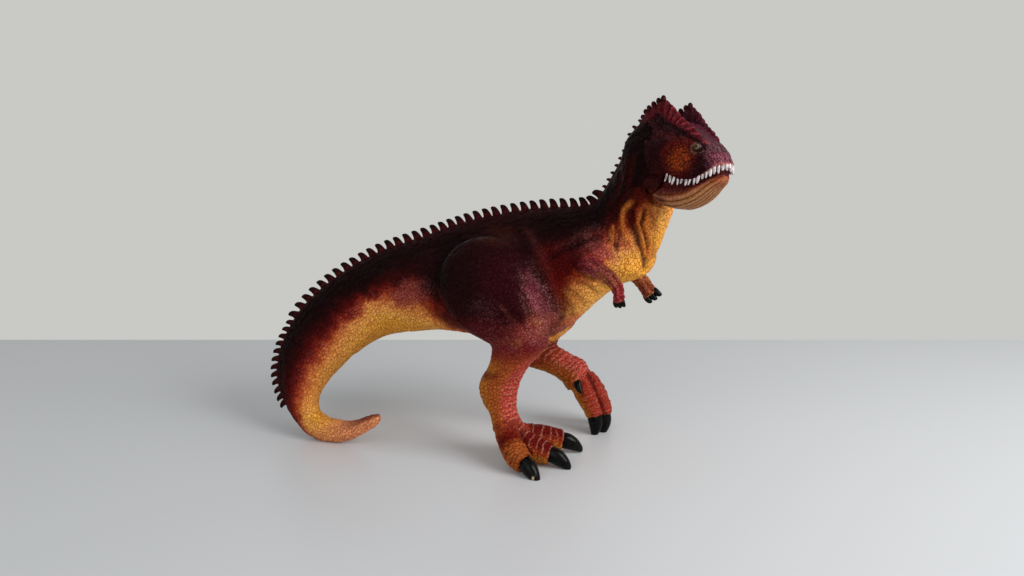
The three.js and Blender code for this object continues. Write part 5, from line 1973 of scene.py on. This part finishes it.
@dataclass
class HeadSkin:
    """The skull with its cheeks and crests, shaped in the head's own frame."""

    anatomy: Anatomy
    voxel: float = 0.36 * MM
    scale_size: float = 1.5 * MM
    patch_place: tuple[float, float] = (0.305, 0.268)
    nostril_place: tuple[float, float] = (0.585, 0.285)

    def build(self) -> None:
        """Builds, shapes and paints the head."""
        head = self.union()
        self.shape(head)
        paint(head, *self.colours(points_of(head)))
        head.data.transform(self.anatomy.head_frame())
        finished(head, FIGURE_BODY, "head", HEAD_SKIN.material(), sharp=50)

    def union(self) -> bpy.types.Object:
        """Skull, cheeks and crests grown together, with the slot for the jaw."""
        body = self.anatomy
        section = closed_section(SKULL_SECTION, 110)
        skull = loft_object("skull", body.head_loft(SKULL_ROWS).sampled(150).rings(section))
        lower = body.head_loft(JAW_ROWS, rise=0.1 * body.head_height).sampled(90)
        cheeks = loft_object("cheeks", lower.rings(closed_section(JAW_SECTION, 90)))
        cut(cheeks, cylinder_across(body.cheek_radius, 2 * body.head_width), "INTERSECT")
        crests = [loft_object("crest", body.crest_loft(side).sampled(120).rings(round_section(36)))
                  for side in Side]
        return grown_together(joined("head_skin", [skull, cheeks, *crests]), self.voxel, 4)

    def shape(self, head: bpy.types.Object) -> None:
        """Presses the eye sockets, cheek patches, crest ribs, lip and wrinkles into the head.

        Args:
            head: the head's skin.
        """
        points = points_of(head)
        normals = normals_of(head)
        size = self.anatomy.head_height
        flat = points[:, [0, 2]] / size
        side = ramp(np.abs(normals[:, 1]), 0.25, 0.6)
        relief = side * self.side_relief(flat)
        relief += self.crest_ribs(points, flat)
        relief += 0.14 * MM * cloud(points, 2.2 * MM, 31.0) + 0.09 * MM * cloud(points, 1.0 * MM, 32.0, 2)
        snout = ramp(flat[:, 0], 0.42, 0.56) * ramp(flat[:, 1], 0.22, 0.32)
        relief += 0.16 * MM * np.abs(cloud(points, 1.2 * MM, 33.0, 1)) * snout
        mouth = ramp(-normals[:, 2], 0.6, 0.9) * ramp(-self.outwards(points), -0.72, -0.5)
        relief -= 1.6 * MM * mouth * ramp(flat[:, 0], 0.16, 0.26)
        scaly = self.patch(points) > 0.02
        relief[scaly] += 0.22 * MM * (ramp(cells(points[scaly], self.scale_size), 0.02, 0.3) - 0.7)
        raise_surface(head, relief)
        self.hang_lip(head)
        half = self.anatomy.barrel_width / 2 + self.anatomy.running_gap
        hinge = self.anatomy.hinge()
        roof = hinge.z + self.anatomy.barrel_radius + self.anatomy.running_gap
        cut(head, box_between((-0.6 * size, -half, -size), (hinge.x + self.anatomy.cheek_radius, half, roof)))

    def hang_lip(self, head: bpy.types.Object) -> None:
        """Lets the upper lip hang a little over the jaw.

        Args:
            head: the head's skin.
        """
        points = points_of(head)
        along = points[:, 0] / self.anatomy.head_height
        above = points[:, 2] / self.anatomy.head_height - read_off(SKULL_ROWS, along, 2)
        out = np.maximum(ramp(self.outwards(points), 0.5, 0.75), ramp(along, 0.57, 0.61))
        points[:, 2] -= lip_drop(along) * ramp(-above, -0.12, -0.02) * out
        move_points(head, points)

    def patch(self, points: np.ndarray) -> np.ndarray:
        """How much of the scaly cheek patch is at each point, fading all round."""
        flat = points[:, [0, 2]] / self.anatomy.head_height
        away = np.linalg.norm((flat - self.patch_place) * (1.0, 0.92), axis=1)
        return ramp(self.outwards(points), 0.6, 0.8) * ramp(-away, -0.205, -0.05)

    def outwards(self, points: np.ndarray) -> np.ndarray:
        """How far out each point is, from 0 in the head's middle to 1 at the skull's side."""
        along = points[:, 0] / self.anatomy.head_height
        return np.abs(points[:, 1]) / (read_off(SKULL_ROWS, along, 3) * self.anatomy.head_width)

    def side_relief(self, flat: np.ndarray) -> np.ndarray:
        """Adds up the eye socket, the folds and the nostril of the head's sides.

        Args:
            flat: the points as seen from the side, as shares of the head's height.

        Returns:
            How far each point is raised.
        """
        relief = np.zeros(len(flat))
        eye = np.linalg.norm(flat - EYE_PLACE, axis=1)
        relief += 0.45 * MM * bell(eye - 0.052, 0.014) - 0.6 * MM * bell(eye, 0.036)
        for line, depth, width in HEAD_STROKES:
            distance, along = line_distance(flat, line)
            relief += depth * MM * bell(distance, width) * ramp(along, -0.02, 0.1) * ramp(-along, -1.02, -0.9)
        nostril = np.linalg.norm((flat - self.nostril_place) * (1, 1.6), axis=1)
        return relief - 0.7 * MM * bell(nostril, 0.014)

    def crest_ribs(self, points: np.ndarray, flat: np.ndarray) -> np.ndarray:
        """The ribs that fan out over the crests."""
        base = read_off(CREST_BASE, flat[:, 0], 1)
        out = np.abs(points[:, 1]) / self.anatomy.head_width
        return 0.5 * MM * (rib_wave(flat) - 0.5) * ramp(flat[:, 1] - base, 0.0, 0.03) * ramp(out, 0.15, 0.25)

    def colours(self, points: np.ndarray) -> tuple[np.ndarray, np.ndarray]:
        """Near black cheeks, red crests, a purple snout with a painted highlight on its front, and a glowing
        patch.

        Args:
            points: the points.

        Returns:
            The colours, and how much painted sheen lies pale on the crests.
        """
        flat = points[:, [0, 2]] / self.anatomy.head_height
        along, rise = flat.T
        wobble = 0.02 * cloud(points, 4 * MM, 41.0) + 0.012 * cloud(points, 1.2 * MM, 42.0)
        snout = ramp(along + 0.3 * rise + wobble, 0.56, 0.68)
        cheek = ramp(-along + wobble, -0.2, -0.12)
        colours = coated(
            plain("#240406", points),
            ("#480A0D", 0.6 * ramp(cloud(points, 5 * MM, 43.0), -0.1, 0.5)),
            ("#26100D", 0.8 * ramp(-along + wobble, -0.02, 0.08)),
            ("#4E1424", snout),
            # painted highlight on the snout's front and top
            ("#7C3446", 0.7 * ramp(along + rise * 0.4 + 3 * wobble, 0.68, 0.8)),
            ("#340907", cheek * ramp(-rise + wobble, -0.18, -0.06)),
            ("#6A2C12", 0.8 * cheek * ramp(-rise + wobble, -0.03, 0.04)))
        colours = self.crest_colours(points, flat, wobble, colours)
        patch = self.patch(points)
        shown = patch > 0.01
        glow = ramp(patch - (rise - 0.24) * 2.2 + (along - 0.3) * 1.2 + 3 * wobble, 0.5, 1.15)
        net = np.zeros(len(points))
        net[shown] = ramp(-cells(points[shown], self.scale_size), -0.2, -0.04)
        side = ramp(self.outwards(points), 0.7, 0.85)
        eye = np.linalg.norm((flat - (0.462, 0.335)) * (1, 0.9), axis=1)
        lid = side * bell(eye - 0.046, 0.012) * ramp(3 * wobble - along, -0.5, -0.44)
        lip, _ = line_distance(flat, LIP_LINE)
        colours = coated(
            colours,
            ("#5E150B", 0.95 * ramp(patch, 0.02, 0.6)),
            ("#A04214", glow * ramp(patch, 0.3, 0.8)),
            ("#260605", 0.9 * net * ramp(patch, 0.1, 0.6)),
            ("#7E5E4A", 0.55 * lid),
            # painted highlight along the upper lip's edge
            ("#B8685C", 0.7 * bell(lip - 0.006, 0.009) * ramp(along, 0.36, 0.5)),
            ("#C8A878", ramp(self.wear_and_sheen(points), 0.45, 0.7)))
        # Painted sheen: strong on the snout, faint behind the head and on the brow
        sheen_level = 0.04 + 0.8 * snout + 0.12 * ramp(-along, 0.02, 0.08) + 0.1 * ramp(rise, 0.36, 0.44)
        return colours, np.clip(sheen_level, 0, 1)

    def crest_colours(self, points: np.ndarray, flat: np.ndarray, wobble: np.ndarray,
                      colours: np.ndarray) -> np.ndarray:
        """Paints the crests deep red with dark furrows, a painted highlight on their ribs and a painted
        shadow below them.

        Args:
            points: the points.
            flat: the points as seen from the side, as shares of the head's height.
            wobble: how far the paint's edges stray at each point.
            colours: the colours below.

        Returns:
            The new colours.
        """
        along, rise = flat.T
        level = rise - read_off(CREST_BASE, along, 1)
        above = ramp(level + wobble, -0.01, 0.03)
        out = np.abs(points[:, 1]) / self.anatomy.head_width
        crest = above * ramp(out - read_off(CREST_ROWS, along, 3), -0.035, 0.01)
        wave = rib_wave(flat)
        return coated(
            colours,
            # painted shadow just below the crests
            ("#0E0203", 0.8 * bell(level + 0.035, 0.02) * ramp(along, -0.05, 0.05)),
            ("#461520", 0.85 * above * ramp(out, 0.12, 0.2)),
            ("#4A1426", 0.8 * above * ramp(along, 0.1, 0.25)),
            ("#5A0912", crest),
            ("#2C050A", 0.85 * crest * ramp(-wave, -0.5, -0.1)),
            # painted highlight on the crests' ribs
            ("#A03A42", 0.5 * crest * ramp(wave, 0.88, 1) * ramp(along, 0.08, 0.2)))

    def wear_and_sheen(self, points: np.ndarray) -> np.ndarray:
        """Where the paint is scuffed off: small specks behind the head and on the brow."""
        size = self.anatomy.head_height
        spots = ((-0.075, -0.245, 0.5, 0.9), (0.5, -0.1, 0.42, 1.0), (0.42, -0.2, 0.39, 0.8))
        specks = [bell(np.linalg.norm(points / size - spot[:3], axis=1), spot[3] / 50) for spot in spots]
        shown = np.max(specks, axis=0)
        return shown + 0.3 * cloud(points, 0.8 * MM, 44.0) * (shown > 0.1)


def lip_drop(along: np.ndarray) -> np.ndarray:
    """How far the upper lip and its teeth hang below the skull's own edge."""
    return MM * read_off(LIP_DROP, along, 1)


def rib_wave(flat: np.ndarray) -> np.ndarray:
    """How high each place is on the ribs that fan out over the crests, from 0 to 1."""
    return np.abs(np.sin(np.arctan2(flat[:, 1] - CREST_FAN[1], flat[:, 0] - CREST_FAN[0]) * 13))


# Places on the head's sides, along and up as shares of its height
EYE_PLACE = (0.465, 0.335)
CREST_FAN = (0.14, 0.42)
CREST_BASE = ((-0.15, 0.58), (0.07, 0.645), (0.24, 0.53), (0.37, 0.45), (0.5, 0.36))
LIP_DROP = ((0.1, 0.0), (0.2, 0.6), (0.32, 1.4), (0.42, 1.8), (0.52, 1.9), (0.6, 1.9))
LIP_LINE = ((0.117, 0.101), (0.189, 0.08), (0.256, 0.068), (0.319, 0.057), (0.377, 0.06), (0.433, 0.07),
            (0.494, 0.093), (0.55, 0.132), (0.595, 0.175), (0.64, 0.21))

# Folds of the head's sides: line, depth in millimetres and width, as shares of the head's height
HEAD_STROKES = (
    (((-0.11, 0.545), (-0.03, 0.6), (0.05, 0.635), (0.09, 0.62)), -0.7, 0.016),
    (((0.09, 0.62), (0.16, 0.57), (0.25, 0.505), (0.37, 0.43), (0.46, 0.385)), -0.7, 0.016),
    (((0.14, 0.52), (0.25, 0.47), (0.36, 0.4)), 0.35, 0.025),
    (((0.12, 0.14), (0.2, 0.122), (0.3, 0.1), (0.4, 0.1), (0.5, 0.125), (0.58, 0.185), (0.63, 0.235)),
     -0.4, 0.012),
    (((-0.05, 0.56), (-0.07, 0.44), (-0.05, 0.31), (-0.02, 0.18)), -0.5, 0.014),
    (((-0.015, 0.55), (-0.035, 0.44), (-0.015, 0.31), (0.015, 0.2)), 0.3, 0.016),
    (((-0.11, 0.56), (-0.13, 0.44), (-0.12, 0.3), (-0.09, 0.18)), -0.5, 0.014),
    (((-0.17, 0.52), (-0.19, 0.42), (-0.18, 0.3)), -0.45, 0.014),
    (((0.06, 0.38), (0.1, 0.3), (0.12, 0.2), (0.1, 0.12)), -0.3, 0.014),
    (((0.41, 0.25), (0.44, 0.2), (0.5, 0.17)), -0.3, 0.012),
    (((0.52, 0.42), (0.55, 0.36), (0.58, 0.33)), -0.25, 0.012),
)


@dataclass
class JawSkin:
    """The lower jaw with its barrel, shaped in the head's own frame."""

    anatomy: Anatomy
    voxel: float = 0.36 * MM
    pin_radius: float = 1.2 * MM
    side_play: float = 0.4 * MM

    def build(self) -> None:
        """Builds, shapes and paints the jaw."""
        jaw = self.union()
        self.shape(jaw)
        paint(jaw, self.colours(points_of(jaw), normals_of(jaw)))
        jaw.data.transform(self.anatomy.head_frame())
        finished(jaw, JAW_BODY, "lower_jaw", JAW_SKIN.material(), sharp=50)

    def union(self) -> bpy.types.Object:
        """The jaw's outer form, less the room for the cheeks, with its barrel."""
        body = self.anatomy
        hinge, reach, gap = body.hinge(), body.head_height, body.running_gap
        half = body.barrel_width / 2
        rings = body.head_loft(JAW_ROWS, rise=-gap).sampled(120).rings(closed_section(JAW_SECTION, 100))
        jaw = loft_object("lower_jaw_skin", rings)
        room = cylinder_across(body.cheek_radius + gap, 2 * body.head_width)
        cut(room, box_between((-reach, -half, -reach), (reach, half, reach)))
        cut(jaw, room)
        cut(jaw, box_between((hinge.x - reach, -reach, -reach), (hinge.x, reach, reach)))
        barrel = cylinder_across(body.barrel_radius, body.barrel_width - self.side_play)
        jaw = grown_together(joined("lower_jaw_skin", [jaw, barrel]), self.voxel, 4)
        return cut(jaw, cylinder_across(self.pin_radius + gap, body.head_width))

    def chin(self, points: np.ndarray) -> tuple[np.ndarray, ...]:
        """Finds where points lie on the jaw and on the chin's long grooves.

        Args:
            points: the points.

        Returns:
            For each point how far along, up and across the jaw it is, how high the jaw's underside is there,
            and how far it is from the nearest groove, from 0 to 1.
        """
        along, rise = points[:, [0, 2]].T / self.anatomy.head_height
        across = points[:, 1] / (read_off(JAW_ROWS, along, 3) * self.anatomy.head_width)
        bottom = read_off(JAW_ROWS, along, 2)
        angle = np.arctan2(across, 1 + (bottom - rise) * 6)
        return along, rise, across, bottom, np.abs(np.sin(angle * 11 + 0.6 * np.sin(along * 12)))

    def shape(self, jaw: bpy.types.Object) -> None:
        """Presses the chin's long grooves, the trough behind the lip and the tongue into the jaw.

        Args:
            jaw: the jaw's skin.
        """
        points = points_of(jaw)
        normals = normals_of(jaw)
        along, rise, across, bottom, wave = self.chin(points)
        under = ramp(-(rise - bottom), -0.13, -0.08) * ramp(-normals[:, 2], -0.2, 0.2)
        away = ramp(along, 0.1, 0.2)
        relief = 0.4 * MM * (wave ** 0.6 - 0.6) * under * away
        trough = ramp(normals[:, 2], 0.6, 0.9) * ramp(-np.abs(across), -0.56, -0.42)
        trough = trough * ramp(along, 0.16, 0.22) * ramp(-along, -0.56, -0.5)
        tongue = trough * ramp(-np.abs(across), -0.3, -0.1) * ramp(-along, -0.5, -0.42)
        relief += MM * (1.5 * tongue - 2.2 * trough)
        relief += 0.07 * MM * cloud(points, 1.4 * MM, 51.0) * away
        raise_surface(jaw, relief)

    def colours(self, points: np.ndarray, normals: np.ndarray) -> np.ndarray:
        """Maroon under the lip, gold on the chin with dark lines, dull red inside.

        Args:
            points: the points.
            normals: the way out of the surface at each point.

        Returns:
            The colours.
        """
        along, rise, _, bottom, wave = self.chin(points)
        level = (rise - bottom) / (read_off(JAW_ROWS, along, 1) - bottom)
        wobble = 0.06 * cloud(points, 3 * MM, 52.0)
        lines = ramp(-wave, -0.45, -0.1) * ramp(-level, -0.6, -0.4) * ramp(along, 0.08, 0.16)
        return coated(
            plain("#A46C3A", points),
            ("#8A461C", ramp(level + wobble, 0.14, 0.32)),
            ("#A04024", 0.5 * ramp(along, 0.5, 0.6) * ramp(-level, -0.5, -0.3)),
            ("#5A2410", 0.9 * ramp(-along + wobble, -0.24, -0.1)),
            ("#420B0C", ramp(level + wobble, 0.3, 0.5)),
            ("#3A1A10", 0.9 * lines),
            ("#D0A088", 0.3 * ramp(wave, 0.8, 1) * ramp(-level, -0.5, -0.2)),
            ("#7A2A28", ramp(normals[:, 2], 0.6, 0.9) * ramp(rise, 0.02, 0.06)))


@dataclass
class UpperTeeth:
    """The blunt teeth along the upper lip, from one corner of the mouth round to the other."""

    anatomy: Anatomy
    steps: int = 800

    def build(self) -> None:
        """Models one tooth and copies it along the lip."""
        tooth = horn("tooth", (
            (-0.32, 0.0, 0.86, 0.8), (0.0, 0.0, 1.05, 0.9), (0.32, 0.03, 0.96, 0.82),
            (0.6, 0.1, 0.66, 0.6), (0.76, 0.15, 0.34, 0.34)))
        teeth = copied(tooth, self.places(), "upper_teeth")
        points = points_of(teeth)
        stain = 0.75 * ramp(cloud(points, 1.6 * MM, 61.0), -0.1, 0.45)
        paint(teeth, coated(plain("#D8D0CE", points), ("#8E6A6C", stain)))
        teeth.data.transform(self.anatomy.head_frame())
        finished(teeth, FIGURE_BODY, "head", TOOTH_GLOSS.material())

    def lip(self) -> np.ndarray:
        """The line that the teeth stand on, round the edge of the upper lip."""
        body = self.anatomy
        front = body.hinge().x + body.cheek_radius
        side = []
        for along, _, low, half in SKULL_ROWS:
            if along * body.head_height > front:
                inset = np.interp(along, (0.13, 0.22, 0.34), (0.98, 0.94, 0.89))
                side.append((along * body.head_height,
                             half * inset * body.head_width - 0.35 * body.tooth_width,
                             low * body.head_height - float(lip_drop(along))))
        return smooth_path(side + [(x, -y, z) for x, y, z in reversed(side)], self.steps)

    def places(self) -> list[Matrix]:
        """Where each tooth hangs from the lip, uneven in length, width and tilt."""
        body = self.anatomy
        line = self.lip()
        length = lengths_along(line)
        count = round(length[-1] / (body.tooth_width * 0.8))
        places = []
        for k in range(count + 1):
            i, ahead = spot_on(line, length, length[-1] * k / count)
            front = ramp(line[i][0] / body.head_height, 0.4, 0.56)
            wide = body.tooth_width * (0.56 + 0.18 * front + 0.09 * math.sin(k * 1.9))
            long = body.tooth_length * (0.8 + 0.1 * math.sin(k * 2.4) + 0.14 * math.sin(k * 5.1))
            back = np.array((-1.0, 0, 0)) if abs(ahead[0]) > 0.5 else -ahead
            tilt = 0.1 - 0.3 * (1 - front) + 0.16 * math.sin(k * 3.3)
            size = Matrix.Diagonal((wide, wide * 0.95, long, 1))
            places.append(standing(line[i], (tilt, 0, -1), back) @ size)
        return places


@dataclass
class HeadTrim:
    """The small dark knobs on the crests' rear edges and the eyes."""

    anatomy: Anatomy
    eye_radius: float = 1.6 * MM
    eye_spread: float = 9.25 * MM
    knob_size: tuple[float, float, float] = (1.7 * MM, 1.15 * MM, 1.15 * MM)

    def build(self) -> None:
        """Builds the knobs and the eyes."""
        self.knobs()
        self.eyes()

    def knobs(self) -> None:
        """Models one knob and copies it along both crests."""
        body = self.anatomy
        bpy.ops.mesh.primitive_uv_sphere_add(segments=24, ring_count=16, radius=1)
        knob = bpy.context.view_layer.objects.active
        size = Matrix.Diagonal((*self.knob_size, 1))
        places = []
        for side in Side:
            for k, (along, rise) in enumerate(KNOB_PLACES):
                out = side.value * body.head_width * CREST_ROWS[k][3]
                place = Vector((along * body.head_height, out, rise * body.head_height))
                tilt = math.atan2(rise - CREST_FAN[1], along - CREST_FAN[0])
                places.append(Matrix.Translation(place) @ Matrix.Rotation(-tilt, 4, "Y") @ size)
        knobs = copied(knob, places, "crest_knobs")
        points = points_of(knobs)
        shine = ramp(cloud(points, 1 * MM, 71.0), 0, 0.6)
        paint(knobs, coated(plain("#24060A", points), ("#5A1620", shine)))
        knobs.data.transform(body.head_frame())
        finished(knobs, FIGURE_BODY, "head", FIN_SKIN.material())

    def eyes(self) -> None:
        """Models one eye, painted with its pupil and iris, and copies it to both sides."""
        body = self.anatomy
        bpy.ops.mesh.primitive_uv_sphere_add(segments=64, ring_count=48, radius=self.eye_radius)
        eye = bpy.context.view_layer.objects.active
        along, rise = (share * body.head_height for share in EYE_PLACE)
        places = [Matrix.Translation((along, side.value * self.eye_spread, rise))
                  @ Matrix.Rotation(-side.value * math.radians(80), 4, "X") for side in Side]
        points = points_of(eye)
        angle = np.degrees(np.arccos(np.clip(points[:, 2] / self.eye_radius, -1, 1)))
        paint(eye, coated(
            plain("#3A1C12", points),
            ("#765A42", ramp(angle, 20, 30) * ramp(-angle, -54, -42)),
            ("#120806", ramp(-angle, -28, -20)),
            ("#1E0806", ramp(angle, 48, 60))))
        eyes = copied(eye, places, "eyes")
        eyes.data.transform(body.head_frame())
        finished(eyes, FIGURE_BODY, "head", EYE_GLOSS.material())


@dataclass
class Studio:
    """The table, the light and the camera."""

    lens: float = 28.125
    sensor: float = 36.0
    camera_place: tuple[float, float, float] = (133.2, -365.9, 154.6)
    camera_turn: tuple[float, float, float] = (79.0, 0.0, 20.0)
    table_edge: float = 589 * MM
    wall_colour: str = "#C9C9C5"

    def build(self) -> None:
        """Sets the table, the world, the lamps and the camera."""
        self.table()
        self.world()
        self.lamp("window", (0.62, -0.12, 0.42), 0.45, 4.6)
        self.lamp("room", (-0.2, -0.8, 0.42), 0.8, 2.1)
        self.camera()
        bpy.context.scene.view_settings.view_transform = "Standard"

    def table(self) -> None:
        """The table's top, up to its far edge as the camera sees it."""
        bpy.ops.mesh.primitive_plane_add(size=6)
        top = bpy.context.view_layer.objects.active
        top.name = "table_top"
        place = Vector(self.camera_place) * MM + ANATOMY.shift()
        turn = Matrix.Rotation(math.radians(self.camera_turn[2]), 4, "Z")
        far = turn @ Vector((0, self.table_edge - 3, 0))
        top.data.transform(Matrix.Translation((place.x + far.x, place.y + far.y, 0)) @ turn)
        top.data.materials.append(TableTop().material())
        top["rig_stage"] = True

    def world(self) -> None:
        """A soft even room, which the camera sees as a pale wall."""
        world = bpy.data.worlds.new("room")
        bpy.context.scene.world = world
        world.use_nodes = True
        tree = world.node_tree
        tree.nodes.clear()
        path = add_node(tree, "ShaderNodeLightPath")
        seen = add_node(tree, "ShaderNodeMath", {
            0: path.outputs["Is Camera Ray"], 1: path.outputs["Is Glossy Ray"]}, operation="MAXIMUM")
        seen = add_node(tree, "ShaderNodeMath", {
            0: seen.outputs[0], 1: path.outputs["Is Transmission Ray"]}, operation="MAXIMUM")
        room = add_node(tree, "ShaderNodeBackground", {"Color": (0.86, 0.88, 0.9, 1), "Strength": 0.42})
        wall = add_node(tree, "ShaderNodeBackground", {
            "Color": (*linear(self.wall_colour), 1), "Strength": 1.0})
        mix = add_node(tree, "ShaderNodeMixShader", {
            0: seen.outputs[0], 1: room.outputs[0], 2: wall.outputs[0]})
        add_node(tree, "ShaderNodeOutputWorld", {"Surface": mix.outputs[0]})

    @staticmethod
    def lamp(name: str, place: tuple[float, float, float], size: float, power: float) -> None:
        """A soft area lamp that shines on the figure.

        Args:
            name: the lamp's name.
            place: where it hangs, in metres.
            size: the width of its soft square.
            power: its power in watts.
        """
        data = bpy.data.lights.new(name, "AREA")
        data.size = size
        data.energy = power
        lamp = bpy.data.objects.new(name, data)
        lamp.location = place
        lamp.rotation_euler = (Vector((0, 0, 0.08)) - lamp.location).to_track_quat("-Z", "Y").to_euler()
        bpy.context.scene.collection.objects.link(lamp)

    def camera(self) -> None:
        """The camera, where the picture was taken from."""
        data = bpy.data.cameras.new("camera")
        data.sensor_width = self.sensor
        data.lens = self.lens
        camera = bpy.data.objects.new("camera", data)
        camera.location = Vector(self.camera_place) * MM + ANATOMY.shift()
        camera.rotation_euler = [math.radians(angle) for angle in self.camera_turn]
        bpy.context.scene.collection.objects.link(camera)
        bpy.context.scene.camera = camera


def main() -> None:
    """Builds the figure's pieces in order and sets the stage."""
    skin = BodySkin(ANATOMY)
    skin.build()
    BackFins(skin).build()
    ToeClaws(ANATOMY).build()
    Fingers(ANATOMY).build()
    HeadSkin(ANATOMY).build()
    JawSkin(ANATOMY).build()
    UpperTeeth(ANATOMY).build()
    HeadTrim(ANATOMY).build()
    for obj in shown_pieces():
        if obj.get("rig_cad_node") == "jaw_pin":
            obj.data.materials.clear()
            obj.data.materials.append(WireSteel().material())
    Studio().build()


if __name__ == "__main__":
    main()
